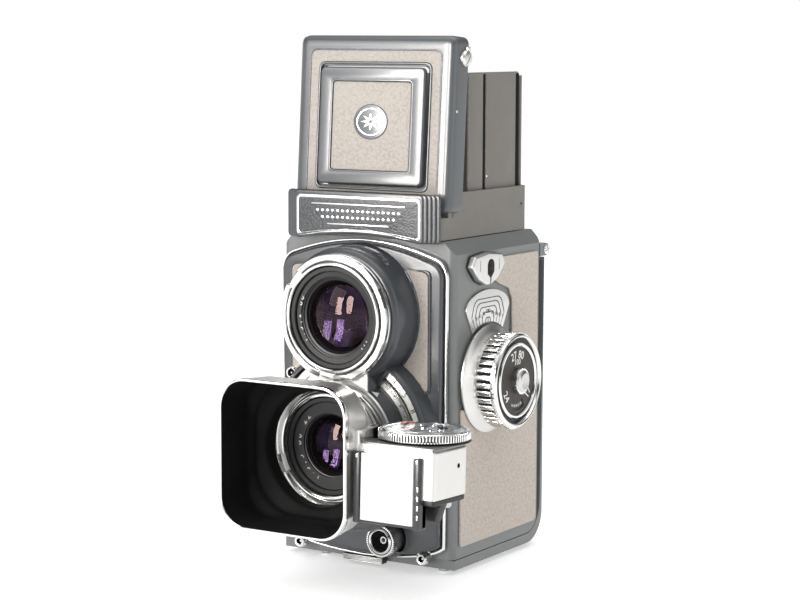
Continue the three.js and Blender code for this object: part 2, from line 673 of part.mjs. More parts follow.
function meterHousing() {
  const { left, right, front, back, low, high } = METER;
  const housing = alongZ(roundedRectangle(left, right, front, -22, 1.2), low, high, 3);
  const tail = block(left + 1, right - 8.5, -23, back, low + 2, high - 1.5);
  // Two rails and the wall between them hold the diffuser.
  const [foot, outer, inner] = [DIFFUSER.low - 1, DIFFUSER.front - 0.3, front + 2.4];
  const [west, east] = [left + 0.4, DIFFUSER.right + 2.1];
  const rails = [[west, DIFFUSER.left - GAP], [DIFFUSER.right + GAP, east]].map(
    ([x0, x1]) => block(x0, x1, outer, inner, foot, DIFFUSER.high + 0.2),
  );
  const backing = block(west, east, front - 0.3, inner, foot, low + 1);
  return join(housing, tail, backing, ...rails);
}

piece('meter_housing', 'satin', inMeter(meterHousing()), meter);

function meterDiffuser() {
  const { left, right, front, low, high, thick } = DIFFUSER;
  return block(left, right, front, front + thick, low, high);
}

piece('meter_diffuser', 'white_plastic', inMeter(meterDiffuser()), meter);

function meterDial() {
  const { x, y, low, high, radius } = METER_DIAL;
  const rim = alongZ(knurled(radius, 0.35, 32), low, high - 0.9).translate(x, y, 0);
  const crown = [[0, low + 1], [12.6, low + 1], [12.6, high - 0.4], [11.6, high], [0, high]];
  return join(rim, turnedZ(crown, x, y, 24));
}

piece('meter_dial', 'chrome', inMeter(meterDial()), meter);

// ---------------------------------------------------------------- nameplate and hood base

// A stepped plate with fluted ends hangs on the front of the hood base; its lower edge is arched.
function nameplate() {
  const arched = (half, low, high) => {
    const shape = new THREE.Shape([new THREE.Vector2(half, high), new THREE.Vector2(-half, high)]);
    shape.lineTo(-half, low);
    shape.quadraticCurveTo(0, low + 4.4, half, low);
    return shape;
  };
  const steps = [[28.6, -2.6], [27.4, -3.3], [26.3, -4], [25.2, -4.7], [24.2, -5.4]];
  const layers = steps.map(([half, front]) => alongY(arched(half, 102.7, 118), front, -1.8, 10));
  const field = alongY(arched(21.8, 104.6, 116.2), -6, -5, 10);
  return cut(join(...layers), field);
}

piece('nameplate', 'front_paint', nameplate());

// The lid's hinge, as [y, z] in the camera's place, from its place in the leaning lid.
function lidHinge() {
  const lean = degrees(LID.lean);
  return [
    LID_ORIGIN.y + LID_HINGE.y * Math.cos(lean) + LID_HINGE.z * Math.sin(lean),
    LID_ORIGIN.z - LID_HINGE.y * Math.sin(lean) + LID_HINGE.z * Math.cos(lean),
  ];
}

function hoodBase() {
  const { half, front, back, low, high, wall } = HOOD_BASE;
  const outer = alongZ(roundedRectangle(-half, half, front, back, 2), low, high, 4);
  const hollow = roundedRectangle(-half + wall, half - wall, 6, back - wall, 1);
  const inside = alongZ(hollow, low + 2.3, high + 1, 3);
  const screenSeat = block(-22.8, 22.8, 4.7, 50.3, low - 1, low + 3);
  const lidRoom = block(-half - 1, half + 1, front - 1, 6.2, 110.8, high + 1);
  let base = cut(outer, inside, screenSeat, lidRoom);
  // The lid turns on a pin on each side, at the top of an ear.
  const [y, z] = lidHinge();
  mirrored(SIDES, (side, sign) => {
    const across = (a, b) => [Math.min(sign * a, sign * b), Math.max(sign * a, sign * b)];
    const post = block(...across(half - wall, half), y - 1.2, y + 1.2, low + 4, z);
    const eye = alongX(disc(1.2, y, z), ...across(half - wall, half), 6);
    const pin = alongX(disc(0.7, y, z), ...across(half - 0.5, LID.half - 0.2), 5);
    base = join(base, post, eye, pin);
  });
  return base;
}

piece('hood_base', 'hood_paint', hoodBase());

// ---------------------------------------------------------------- folding hood

// The lid stands at the front and leans back; its own frame has y along its depth, z up its face.
const lid = new THREE.Group();
lid.position.set(0, LID_ORIGIN.y, LID_ORIGIN.z);
lid.rotation.x = degrees(-LID.lean);
camera.add(lid);

// The side walls end in a round heel, which clears the hood base as the lid folds.
const HEEL = 4;

function hoodLid() {
  const { half, low, high, front, rim, skin } = LID;
  const face = alongY(roundedRectangle(-half, half, low, high, 2.2), front, rim, 4);
  const room = roundedRectangle(-half + 1, half - 1, low - 5, high - 1, 1.4);
  const hollow = alongY(room, front + skin, rim + 1, 3);
  const opening = roundedRectangle(-FLAP.half - GAP, FLAP.half + GAP, FLAP.low - GAP, FLAP.high + GAP, 1.6);
  const window = alongY(opening, front - 1, front + skin + 1, 3);
  const heel = alongX(outline([
    [rim - HEEL, low - 1], [rim + 1, low - 1], [rim + 1, low + HEEL], [rim - HEEL, low + HEEL],
  ]), -half - 1, half + 1);
  const relief = cut(heel, alongX(disc(HEEL, rim - HEEL, low + HEEL), -half - 2, half + 2, 16));
  const pinHole = alongX(disc(1, LID_HINGE.y, LID_HINGE.z), -half - 1, half + 1, 6);
  return cut(face, hollow, window, relief, pinHole);
}

piece('hood_lid', 'lid_paint', hoodLid(), lid);
piece('lid_stud', 'chrome', turnedX([
  [0, LID.half + GAP], [2.6, LID.half + GAP], [2.6, LID.half + 1],
  [1.6, LID.half + 1.6], [0, LID.half + 1.8],
], 2.2, 42.6, 18), lid);

function finderFlap() {
  const { half, low, high, skin } = FLAP;
  const face = roundedRectangle(-half, half, low, high, 1.4);
  const panel = alongY(face, LID.front - 1.6, LID.front + skin - 0.8, 3);
  const window = roundedRectangle(-half + 4.6, half - 4.6, low + 4.4, high - 4.4, 1);
  const field = alongY(window, LID.front - 3, LID.front - 1, 3);
  return cut(panel, field);
}

piece('finder_flap', 'lid_paint', finderFlap(), lid);

const MAGNIFIER = { radius: 12.5, front: -0.8, back: 1.6, arm: 0.6, half: 3, hinge: 37.6, z: 22 };

function magnifier() {
  const { radius, front, back, arm, half, hinge, z } = MAGNIFIER;
  const frame = alongY(disc(radius, 0, z), front, back, 16);
  return join(frame, block(-half, half, front, arm, z, hinge));
}

piece('magnifier', 'black_metal', magnifier(), lid);

// Each side closes with two leaves, which fold flat into the base; the right pair lies on the left.
const FOLD = { left: 108, right: 109.8, rear: 111.6, rearY: 51.2 };

mirrored(SIDES, (side, sign) => {
  for (const [place, y0, y1] of [['front', 17.2, 27.5], ['rear', 28.1, 49.6]]) {
    const [x, reach] = [sign * LEAF.x, LEAF.thick / 2];
    const leaf = block(x - reach, x + reach, y0, y1, FOLD[side] - reach, LEAF.high);
    piece(`hood_leaf_${side}_${place}`, 'hood_paint', leaf);
  }
});

piece('hood_rear_panel', 'hood_paint', block(
  -25.2, 25.2, FOLD.rearY - LEAF.thick / 2, FOLD.rearY + LEAF.thick / 2, FOLD.rear, 154.6,
));

// ---------------------------------------------------------------- back and base door

function backCover() {
  const { depth, corner } = BODY;
  const inner = depth - DOOR.skin;
  const shape = new THREE.Shape([new THREE.Vector2(inner, DOOR.top)]);
  shape.absarc(inner - GAP - corner, DOOR.base + GAP + corner, corner + GAP, 0, -Math.PI / 2, true);
  shape.lineTo(DOOR.front, DOOR.base);
  shape.lineTo(DOOR.front, 0);
  shape.absarc(depth - corner - 1, corner + 1, corner + 1, -Math.PI / 2, 0, false);
  shape.lineTo(depth, DOOR.top);
  const shell = alongX(shape, -BODY.half, BODY.half, 8);
  const reach = BODY.half - 4.3 - GAP;
  const { y, z, hole, barrel } = DOOR_HINGE;
  const knuckle = alongX(disc(barrel, y, z), -reach, reach, 8);
  const webOutline = outline([
    [inner, DOOR.top - 4], [depth, DOOR.top - 4], [y + 1.2, z - 1.5], [inner, z - 1.5],
  ]);
  const web = alongX(webOutline, -reach, reach);
  const bore = alongX(disc(hole, y, z), -reach - 1, reach + 1, 8);
  const bushSeat = alongZ(disc(9.3, 0, 28), -1, DOOR.base + 1, 14);
  return cut(join(shell, knuckle, web), bore, bushSeat);
}

piece('back_cover', 'body_paint', backCover());
piece('leather_back', 'leatherette', alongY(
  roundedRectangle(-28.4, 28.4, 12, 89, 1.5), BODY.depth + GAP, BODY.depth + GAP + COVER.thick, 3,
));
piece('pressure_plate', 'black_metal', alongY(roundedRectangle(-24, 24, 18, 62, 1.5), 51.2, 52.4, 3));
piece('tripod_bush', 'steel', turnedZ([
  [4.7, -1.2], [8.6, -1.2], [9, -0.8], [9, 2.8], [4.7, 2.8], [4.7, -1.2],
], 0, 28, 20));

for (const [name, x, y] of [
  ['foot_front_left', -18.3, 4.5], ['foot_front_right', 26.5, 4.5],
  ['foot_back_left', -26.5, 44], ['foot_back_right', 27.6, 38],
]) {
  piece(name, 'chrome', turnedZ(bar(FEET.radius, FEET.low, -GAP, 0.4), x, y, 14));
}

// A ribbed lever under the lenses locks the door.
const LATCH = { half: 7.5, front: -2.6, back: 0.6, low: -0.5, high: 1.5 };

function backLatch() {
  const shape = [[LATCH.back, LATCH.high], [LATCH.back, LATCH.low]];
  const ribs = 5;
  const pitch = (LATCH.high - LATCH.low) / ribs;
  for (let rib = 0; rib < ribs; rib += 1) {
    shape.push([LATCH.front, LATCH.low + rib * pitch]);
    shape.push([LATCH.front, LATCH.low + (rib + 0.55) * pitch]);
    shape.push([LATCH.front + 0.4, LATCH.low + (rib + 0.55) * pitch]);
    shape.push([LATCH.front + 0.4, LATCH.low + (rib + 1) * pitch]);
  }
  return alongX(outline(shape), -LATCH.half, LATCH.half);
}

piece('back_latch', 'chrome', backLatch());

// ---------------------------------------------------------------- on the ground

// The origin is the middle of the camera's box from above, level with the tips of its feet.
const middleX = (WIND.face + METER_DIAL.x + METER_DIAL.radius) / 2;
const middleY = (LENS_HOOD.front + DOOR_HINGE.y + DOOR_HINGE.barrel) / 2;
camera.position.set(-middleX, -middleY, -FEET.low);
camera.updateMatrixWorld(true);

export default camera;
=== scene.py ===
"""Looks of a small grey twin lens reflex camera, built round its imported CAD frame.

Lengths are millimetres in the camera's own axes until a mesh is made: x = 0 is the plane of the two
lens axes, y = 0 the front of the body casting, z = 0 the underside of the base. DATUM, read from the
frame, is where that zero lies, and MM turns the result into metres.
"""

import json
import math
from types import SimpleNamespace

import bmesh
import bpy
import numpy as np
from mathutils import Matrix, Vector


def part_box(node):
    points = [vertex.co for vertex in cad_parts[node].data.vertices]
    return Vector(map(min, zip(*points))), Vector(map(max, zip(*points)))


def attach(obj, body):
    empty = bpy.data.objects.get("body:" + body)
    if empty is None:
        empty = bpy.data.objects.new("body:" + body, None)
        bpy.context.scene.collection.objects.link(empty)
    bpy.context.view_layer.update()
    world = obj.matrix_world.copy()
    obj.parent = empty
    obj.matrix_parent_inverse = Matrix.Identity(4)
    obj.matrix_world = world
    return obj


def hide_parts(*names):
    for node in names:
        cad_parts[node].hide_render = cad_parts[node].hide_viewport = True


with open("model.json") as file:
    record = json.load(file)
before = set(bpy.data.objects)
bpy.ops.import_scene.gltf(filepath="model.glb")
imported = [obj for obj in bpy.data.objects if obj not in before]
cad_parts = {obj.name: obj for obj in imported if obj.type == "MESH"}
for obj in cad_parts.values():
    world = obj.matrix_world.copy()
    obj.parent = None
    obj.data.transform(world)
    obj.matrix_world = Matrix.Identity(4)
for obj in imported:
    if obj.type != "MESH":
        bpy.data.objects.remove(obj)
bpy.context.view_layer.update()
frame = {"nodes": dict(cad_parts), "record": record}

MM = 0.001


def span(node):
    """A CAD node's box in millimetres, in the frame's own axes."""
    low, high = (np.array(corner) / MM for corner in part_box(node))
    middle = (low + high) / 2
    return SimpleNamespace(low=low, high=high, mid=middle, size=high - low)


CASTING = span("body_shell")
DATUM = np.array([CASTING.mid[0], CASTING.low[1], span("back_cover").low[2]])


def local(node):
    """A CAD node's box in millimetres, in the camera's own axes."""
    box = span(node)
    return SimpleNamespace(low=box.low - DATUM, high=box.high - DATUM, mid=box.mid - DATUM, size=box.size)


# ---------------------------------------------------------------- dimensions

HALF = 32.3  # from the middle to the casting's side
VIEWING_Z = local("viewing_lens_ring").mid[2]
TAKING_Z = local("taking_lens_ring").mid[2]
KNOB = local("focus_knob")
KNOB_Y, KNOB_Z = KNOB.mid[1], KNOB.mid[2]
KNOB_FACE = KNOB.high[0]
SIDES = {"right": 1, "left": -1}


# ---------------------------------------------------------------- camera, lights, floor

def add_camera():
    """Looks at the front and right side from a little above, as a 100 mm lens about 0.7 m away."""
    data = bpy.data.cameras.new("view_camera")
    data.lens = 100.55
    data.sensor_width = 36
    data.clip_start = 0.05
    eye = np.array([384.43, -589.01, 167.52])
    yaw, pitch, roll = 0.563287, 0.118573, 0.002831
    forward = Vector((-math.sin(yaw) * math.cos(pitch), math.cos(yaw) * math.cos(pitch), -math.sin(pitch)))
    right = forward.cross(Vector((0, 0, 1))).normalized()
    up = right.cross(forward)
    right, up = (
        math.cos(roll) * right + math.sin(roll) * up,
        math.cos(roll) * up - math.sin(roll) * right,
    )
    turn = Matrix((right, up, -forward)).transposed().to_4x4()
    camera = bpy.data.objects.new("view_camera", data)
    camera.matrix_world = Matrix.Translation((DATUM + eye) * MM) @ turn
    bpy.context.collection.objects.link(camera)
    bpy.context.scene.camera = camera


def softbox(name, place, size, watts, colour=(1, 1, 1)):
    """A rectangular soft light that faces the middle of the camera."""
    data = bpy.data.lights.new(name, "AREA")
    data.shape = "RECTANGLE"
    data.size, data.size_y = size
    data.energy = watts
    data.color = colour
    light = bpy.data.objects.new(name, data)
    aim = Vector((0, 0, 0.075)) - Vector(place)
    light.matrix_world = Matrix.Translation(place) @ aim.to_track_quat("-Z", "Y").to_matrix().to_4x4()
    bpy.context.collection.objects.link(light)
    return light


def add_studio():
    """A bright sky at the horizon with darker stretches higher up, which chrome needs, and soft boxes."""
    bpy.context.scene.view_settings.view_transform = "Standard"
    world = bpy.data.worlds.new("studio")
    bpy.context.scene.world = world
    world.use_nodes = True
    tree = world.node_tree
    place = tree.nodes.new("ShaderNodeTexCoord")
    split = tree.nodes.new("ShaderNodeSeparateXYZ")
    ramp = tree.nodes.new("ShaderNodeValToRGB")
    stops = ((0.0, 1.0), (0.56, 1.0), (0.62, 0.12), (0.74, 0.06), (0.82, 0.5), (0.93, 0.75))
    for number, (position, grey) in enumerate(stops):
        elements = ramp.color_ramp.elements
        element = elements[number] if number < 2 else elements.new(position)
        element.position = position
        element.color = (grey, grey, grey, 1)
    shift = tree.nodes.new("ShaderNodeMapRange")
    shift.inputs["From Min"].default_value = -1
    background = tree.nodes["Background"]
    tree.links.new(place.outputs["Generated"], split.inputs[0])
    tree.links.new(split.outputs["Z"], shift.inputs["Value"])
    tree.links.new(shift.outputs[0], ramp.inputs["Fac"])
    tree.links.new(ramp.outputs["Color"], background.inputs["Color"])
    background.inputs["Strength"].default_value = 1.0
    softbox("key_left", (-0.5, -0.8, 0.5), (0.5, 0.5), 2.6)
    softbox("fill_right", (0.95, -0.1, 0.4), (0.5, 0.7), 1.3)
    softbox("top", (0.0, 0.1, 0.95), (0.9, 0.7), 2.0)
    overhead = bpy.data.lights.new("overhead", "SUN")
    overhead.energy = 0.8
    overhead.angle = math.radians(70)
    lamp = bpy.data.objects.new("overhead", overhead)
    lamp.rotation_euler = (math.radians(12), 0, 0)
    bpy.context.collection.objects.link(lamp)
    for name, place in (("window_one", (-0.4, -0.93, 0.3)), ("window_two", (-0.06, -1.0, 0.36))):
        pane = softbox(name, place, (0.21, 0.5), 11.0, (1, 0.97, 0.94))
        pane.visible_diffuse = False


def add_floor():
    """A pale sweep: a floor that the camera stands on."""
    size = 6.0
    mesh = bpy.data.meshes.new("floor")
    mesh.from_pydata(
        [(-size, -size, 0), (size, -size, 0), (size, size, 0), (-size, size, 0)], [], [(0, 1, 2, 3)],
    )
    floor = bpy.data.objects.new("floor", mesh)
    bpy.context.collection.objects.link(floor)
    mat = bpy.data.materials.new("floor_paper")
    mat.use_nodes = True
    tree = mat.node_tree
    shader = tree.nodes["Principled BSDF"]
    shader.inputs["Base Color"].default_value = (0.95, 0.95, 0.95, 1)
    shader.inputs["Emission Color"].default_value = (1, 1, 1, 1)
    shader.inputs["Emission Strength"].default_value = 0.42
    shader.inputs["Roughness"].default_value = 0.85
    grain = tree.nodes.new("ShaderNodeTexNoise")
    grain.inputs["Scale"].default_value = 250
    bump = tree.nodes.new("ShaderNodeBump")
    bump.inputs["Strength"].default_value = 0.04
    bump.inputs["Distance"].default_value = 0.0004
    tree.links.new(grain.outputs["Fac"], bump.inputs["Height"])
    tree.links.new(bump.outputs["Normal"], shader.inputs["Normal"])
    mesh.materials.append(mat)


add_camera()
add_studio()
add_floor()


# ---------------------------------------------------------------- finishes

class Finish:
    """One procedural material. Each method adds one kind of detail; sizes are in millimetres."""

    def __init__(self, name, colour, roughness, metallic=0.0):
        self.material = bpy.data.materials.new(name)
        self.material.use_nodes = True
        self.tree = self.material.node_tree
        self.shader = self.tree.nodes["Principled BSDF"]
        self.shader.inputs["Metallic"].default_value = metallic
        self.place = self.tree.nodes.new("ShaderNodeTexCoord").outputs["Object"]
        self.colour = self.value_rgb(colour)
        self.tree.links.new(self.colour, self.shader.inputs["Base Color"])
        self.roughness = self.node("ShaderNodeValue")
        self.roughness.outputs[0].default_value = roughness
        self.tree.links.new(self.roughness.outputs[0], self.shader.inputs["Roughness"])
        self.normal = None

    def node(self, kind, **values):
        made = self.tree.nodes.new(kind)
        for key, value in values.items():
            made.inputs[key].default_value = value
        return made

    def value_rgb(self, colour):
        made = self.tree.nodes.new("ShaderNodeRGB")
        made.outputs[0].default_value = (*colour, 1)
        return made.outputs[0]

    def link(self, source, target):
        self.tree.links.new(source, target)

    def noise(self, size, detail=3.0, stretch=(1, 1, 1)):
        mapping = self.node("ShaderNodeMapping", Scale=stretch)
        self.link(self.place, mapping.inputs["Vector"])
        texture = self.node("ShaderNodeTexNoise", Scale=1 / (size * MM), Detail=detail)
        self.link(mapping.outputs[0], texture.inputs["Vector"])
        return texture.outputs["Fac"]

    def pebbles(self, size):
        texture = self.node("ShaderNodeTexVoronoi", Scale=1 / (size * MM), Randomness=0.9)
        texture.feature = "SMOOTH_F1"
        self.link(self.place, texture.inputs["Vector"])
        return texture.outputs["Distance"]

    def ranged(self, value, low, high, source=(0.3, 0.7)):
        made = self.node(
            "ShaderNodeMapRange",
            **{"From Min": source[0], "From Max": source[1], "To Min": low, "To Max": high},
        )
        self.link(value, made.inputs["Value"])
        return made.outputs[0]

    def blend_colour(self, factor, colour):
        """Mixes the colour so far with another one, by a factor from 0 to 1."""
        mix = self.tree.nodes.new("ShaderNodeMix")
        mix.data_type = "RGBA"
        self.link(factor, mix.inputs["Factor"])
        self.link(self.colour, mix.inputs["A"])
        mix.inputs["B"].default_value = (*colour, 1)
        self.colour = [out for out in mix.outputs if out.type == "RGBA"][0]
        self.link(self.colour, self.shader.inputs["Base Color"])
        return self

    def mottled(self, size, colour, amount):
        return self.blend_colour(self.ranged(self.noise(size), 0, amount), colour)

    def rough_patches(self, size, low, high):
        self.link(self.ranged(self.noise(size), low, high), self.shader.inputs["Roughness"])
        return self

    def bump(self, height, depth, strength=1.0):
        made = self.node("ShaderNodeBump", Strength=strength, Distance=depth * MM)
        self.link(height, made.inputs["Height"])
        if self.normal is not None:
            self.link(self.normal, made.inputs["Normal"])
        self.normal = made.outputs["Normal"]
        self.link(self.normal, self.shader.inputs["Normal"])
        return self

    def worn_edges(self, radius, colour, amount):
        """Edges that hands rub show a lighter metal, found by how much a small bevel turns the surface."""
        bevel = self.tree.nodes.new("ShaderNodeBevel")
        bevel.samples = 4
        bevel.inputs["Radius"].default_value = radius * MM
        geometry = self.tree.nodes.new("ShaderNodeNewGeometry")
        dot = self.tree.nodes.new("ShaderNodeVectorMath")
        dot.operation = "DOT_PRODUCT"
        self.link(bevel.outputs[0], dot.inputs[0])
        self.link(geometry.outputs["Normal"], dot.inputs[1])
        edge = self.ranged(dot.outputs["Value"], amount, 0, (0.8, 0.97))
        product = self.tree.nodes.new("ShaderNodeMath")
        product.operation = "MULTIPLY"
        self.link(edge, product.inputs[0])
        self.link(self.ranged(self.noise(1.2), 0, 1, (0.45, 0.6)), product.inputs[1])
        return self.blend_colour(product.outputs[0], colour)

    def outer_fresnel(self, index):
        """How much a surface reflects at each slant, on its outer side only."""
        fresnel = self.node("ShaderNodeFresnel", IOR=index)
        side = self.tree.nodes.new("ShaderNodeNewGeometry")
        outer = self.tree.nodes.new("ShaderNodeMath")
        outer.operation = "SUBTRACT"
        outer.inputs[0].default_value = 1
        self.link(side.outputs["Backfacing"], outer.inputs[1])
        product = self.tree.nodes.new("ShaderNodeMath")
        product.operation = "MULTIPLY"
        self.link(fresnel.outputs[0], product.inputs[0])
        self.link(outer.outputs[0], product.inputs[1])
        return product.outputs[0]

    def coated(self, weight, roughness=0.08):
        self.shader.inputs["Coat Weight"].default_value = weight
        self.shader.inputs["Coat Roughness"].default_value = roughness
        return self


def make_finishes():
    made = {}
    made["body_paint"] = (
        Finish("body_enamel", (0.165, 0.176, 0.174), 0.42)
        .mottled(14, (0.155, 0.166, 0.164), 0.3).rough_patches(6, 0.39, 0.46)
        .worn_edges(0.35, (0.42, 0.42, 0.4), 0.4).coated(0.2, 0.2)
    )
    made["body_paint"].bump(made["body_paint"].noise(0.5), 0.004, 0.4)
    made["front_paint"] = (
        Finish("front_enamel", (0.045, 0.05, 0.057), 0.32)
        .mottled(14, (0.05, 0.056, 0.063), 0.3).rough_patches(6, 0.3, 0.35)
        .worn_edges(0.3, (0.4, 0.4, 0.4), 0.3).coated(0.25, 0.15)
    )
    made["lid_paint"] = (
        Finish("lid_enamel", (0.088, 0.096, 0.102), 0.3)
        .mottled(16, (0.082, 0.09, 0.096), 0.3).rough_patches(7, 0.28, 0.34)
        .worn_edges(0.3, (0.45, 0.45, 0.44), 0.3).coated(0.3, 0.12)
    )
    made["hood_paint"] = (
        Finish("hood_enamel", (0.175, 0.165, 0.15), 0.55)
        .mottled(9, (0.163, 0.154, 0.14), 0.4).rough_patches(5, 0.5, 0.6)
        .worn_edges(0.3, (0.5, 0.48, 0.44), 0.45)
    )
    made["hood_paint"].bump(made["hood_paint"].noise(0.4), 0.006, 0.5)
    leather = Finish("leatherette", (0.53, 0.475, 0.42), 0.66)
    # Painted shade: the grain's hollows, which the bump below sinks, are painted darker than the pebbles'
    # tops.
    crease = leather.ranged(leather.pebbles(0.75), 0.0, 0.5, (0.3, 0.62))
    leather.blend_colour(crease, (0.33, 0.29, 0.25))
    leather.mottled(20, (0.56, 0.505, 0.45), 0.25)
    leather.bump(leather.pebbles(0.75), -0.14, 0.9).bump(leather.noise(0.3), 0.03, 0.5)
    made["leatherette"] = leather
    chrome = Finish("chrome_plate", (0.76, 0.76, 0.75), 0.12, 1.0).rough_patches(4, 0.09, 0.16)
    made["chrome"] = chrome.bump(chrome.noise(3), 0.0012, 0.3)
    satin = Finish("satin_metal", (0.66, 0.655, 0.64), 0.32, 1.0).rough_patches(2, 0.3, 0.36)
    satin.mottled(16, (0.62, 0.615, 0.6), 0.4)
    made["satin_metal"] = satin.bump(satin.noise(0.18), 0.003, 0.5)
    black = Finish("black_paint", (0.01, 0.01, 0.011), 0.5).mottled(3, (0.016, 0.016, 0.017), 0.7)
    made["black_metal"] = black.rough_patches(2, 0.45, 0.55).worn_edges(0.2, (0.3, 0.3, 0.3), 0.2)
    gloss = Finish("black_anodised", (0.0045, 0.0045, 0.005), 0.42).mottled(2, (0.008, 0.008, 0.009), 0.6)
    gloss.shader.inputs["Specular IOR Level"].default_value = 0.3
    made["black_gloss"] = gloss.rough_patches(1.5, 0.38, 0.46).bump(gloss.noise(0.3), 0.003, 0.3)
    scale = Finish("scale_plate", (0.74, 0.74, 0.72), 0.3, 0.85).mottled(2, (0.7, 0.7, 0.68), 0.5)
    made["scale_white"] = scale.bump(scale.noise(0.2), 0.003, 0.5)
    top = Finish("meter_top", (0.22, 0.22, 0.22), 0.34, 0.7).mottled(8, (0.2, 0.2, 0.2), 0.5)
    made["meter_top"] = top.bump(top.noise(0.2), 0.003, 0.4)
    dark = Finish("meter_dark", (0.05, 0.05, 0.052), 0.3, 0.4).mottled(3, (0.07, 0.07, 0.07), 0.5)
    made["meter_dark"] = dark.worn_edges(0.25, (0.7, 0.7, 0.7), 0.7)
    slate = Finish("pebbled_slate", (0.06, 0.066, 0.075), 0.42)
    # Painted shade: the slate is painted darker in the hollows between its pebbles, which the bump sinks.
    slate.blend_colour(slate.ranged(slate.pebbles(0.6), 0, 0.7, (0.3, 0.6)), (0.02, 0.023, 0.027))
    made["pebbled_slate"] = slate.bump(slate.pebbles(0.6), -0.14, 0.9)
    velvet = Finish("matt_black", (0.006, 0.006, 0.007), 0.85).mottled(4, (0.01, 0.01, 0.011), 0.8)
    velvet.shader.inputs["Specular IOR Level"].default_value = 0.15
    made["matt_black"] = velvet.bump(velvet.noise(0.25), 0.02, 0.5)
    steel = Finish("brushed_steel", (0.56, 0.56, 0.56), 0.3, 1.0).rough_patches(2, 0.27, 0.34)
    made["steel"] = steel.bump(steel.noise(0.4, stretch=(0.05, 1, 1)), 0.002, 0.5)
    white = Finish("opal_white", (0.93, 0.93, 0.91), 0.35).mottled(10, (0.91, 0.91, 0.89), 0.4)
    white.shader.inputs["Subsurface Weight"].default_value = 0.15
    white.shader.inputs["Subsurface Radius"].default_value = (0.002, 0.002, 0.002)
    made["white_plastic"] = white.bump(white.noise(0.6), 0.003, 0.3)
    made["white_ink"] = Finish("white_ink", (0.9, 0.9, 0.87), 0.5).mottled(1, (0.8, 0.8, 0.77), 0.5)
    scuffed = Finish("hood_black", (0.0035, 0.0035, 0.0035), 0.75).mottled(5, (0.006, 0.006, 0.006), 0.8)
    scuffed.shader.inputs["Specular IOR Level"].default_value = 0.12
    made["hood_black"] = scuffed.bump(scuffed.noise(0.3), 0.01, 0.5)
    brown = Finish("dial_brown", (0.042, 0.036, 0.033), 0.45).mottled(3, (0.05, 0.043, 0.039), 0.6)
    brown.shader.inputs["Specular IOR Level"].default_value = 0.25
    made["dial_brown"] = brown.bump(brown.noise(0.3), 0.003, 0.4)
    made["black_ink"] = Finish("black_ink", (0.015, 0.015, 0.015), 0.5).mottled(1, (0.03, 0.03, 0.03), 0.5)
    made["red_ink"] = Finish("red_ink", (0.6, 0.02, 0.015), 0.4).mottled(1, (0.45, 0.02, 0.015), 0.5)
    made["green_ink"] = Finish("green_ink", (0.02, 0.18, 0.06), 0.5).mottled(1, (0.02, 0.14, 0.05), 0.5)
    made["mirror_glass"] = Finish("silvered_glass", (0.9, 0.91, 0.92), 0.03, 1.0).rough_patches(8, 0.02, 0.06)
    screen = Finish("ground_glass", (0.62, 0.64, 0.63), 0.5).mottled(2, (0.56, 0.58, 0.57), 0.5)
    made["screen_glass"] = screen.bump(screen.noise(0.12), 0.02, 0.6)
    made["clear"] = clear_finish("clear_acrylic", (0.98, 0.99, 1.0))
    made["front_glass"] = coated_glass("coated_front_glass", (0.85, 0.6, 0.55), 0.1, 1.3)
    made["inner_glass"] = coated_glass("coated_inner_glass", (0.66, 0.5, 1.0), 0.85, 1.38)
    return made


def clear_finish(name, tint):
    """Clear acrylic: sees through, with the sheen that its surface reflects at a slant."""
    made = Finish(name, tint, 0.03)
    tree = made.tree
    through = tree.nodes.new("ShaderNodeBsdfTransparent")
    through.inputs["Color"].default_value = (*tint, 1)
    mix = tree.nodes.new("ShaderNodeMixShader")
    fresnel = made.outer_fresnel(1.13)
    gloss = made.node("ShaderNodeBsdfGlossy", Roughness=0.03)
    scratch = made.node("ShaderNodeBump", Strength=0.15, Distance=0.02 * MM)
    made.link(made.noise(1.5), scratch.inputs["Height"])
    made.link(scratch.outputs["Normal"], gloss.inputs["Normal"])
    made.link(fresnel, mix.inputs[0])
    made.link(through.outputs[0], mix.inputs[1])
    made.link(gloss.outputs[0], mix.inputs[2])
    made.link(mix.outputs[0], tree.nodes["Material Output"].inputs["Surface"])
    return made


def coated_glass(name, reflection, body, index):
    """A coated lens surface: a tinted reflection over glass that lets the dark barrel show through."""
    made = Finish(name, (0.01, 0.01, 0.015), 0.02)
    tree = made.tree
    through = tree.nodes.new("ShaderNodeBsdfTransparent")
    through.inputs["Color"].default_value = (0.93, 0.9, 0.95, 1)
    solid = made.node("ShaderNodeBsdfDiffuse")
    solid.inputs["Color"].default_value = (0.014, 0.009, 0.009, 1)
    depth = tree.nodes.new("ShaderNodeMixShader")
    depth.inputs[0].default_value = body
    gloss = made.node("ShaderNodeBsdfGlossy", Roughness=0.02)
    tint = tree.nodes.new("ShaderNodeMix")
    tint.data_type = "RGBA"
    made.link(made.ranged(made.noise(9), 0, 0.5), tint.inputs["Factor"])
    colours = [socket for socket in tint.inputs if socket.type == "RGBA"]
    colours[0].default_value = (*reflection, 1)
    colours[1].default_value = (*(min(1, part * 1.3) for part in reflection), 1)
    made.link([out for out in tint.outputs if out.type == "RGBA"][0], gloss.inputs["Color"])
    fresnel = made.outer_fresnel(index)
    mix = tree.nodes.new("ShaderNodeMixShader")
    made.link(through.outputs[0], depth.inputs[1])
    made.link(solid.outputs[0], depth.inputs[2])
    made.link(fresnel, mix.inputs[0])
    made.link(depth.outputs[0], mix.inputs[1])
    made.link(gloss.outputs[0], mix.inputs[2])
    made.link(mix.outputs[0], tree.nodes["Material Output"].inputs["Surface"])
    return made


FINISHES = make_finishes()


# ---------------------------------------------------------------- solids

def rows(*values):
    return Matrix(values).to_4x4()


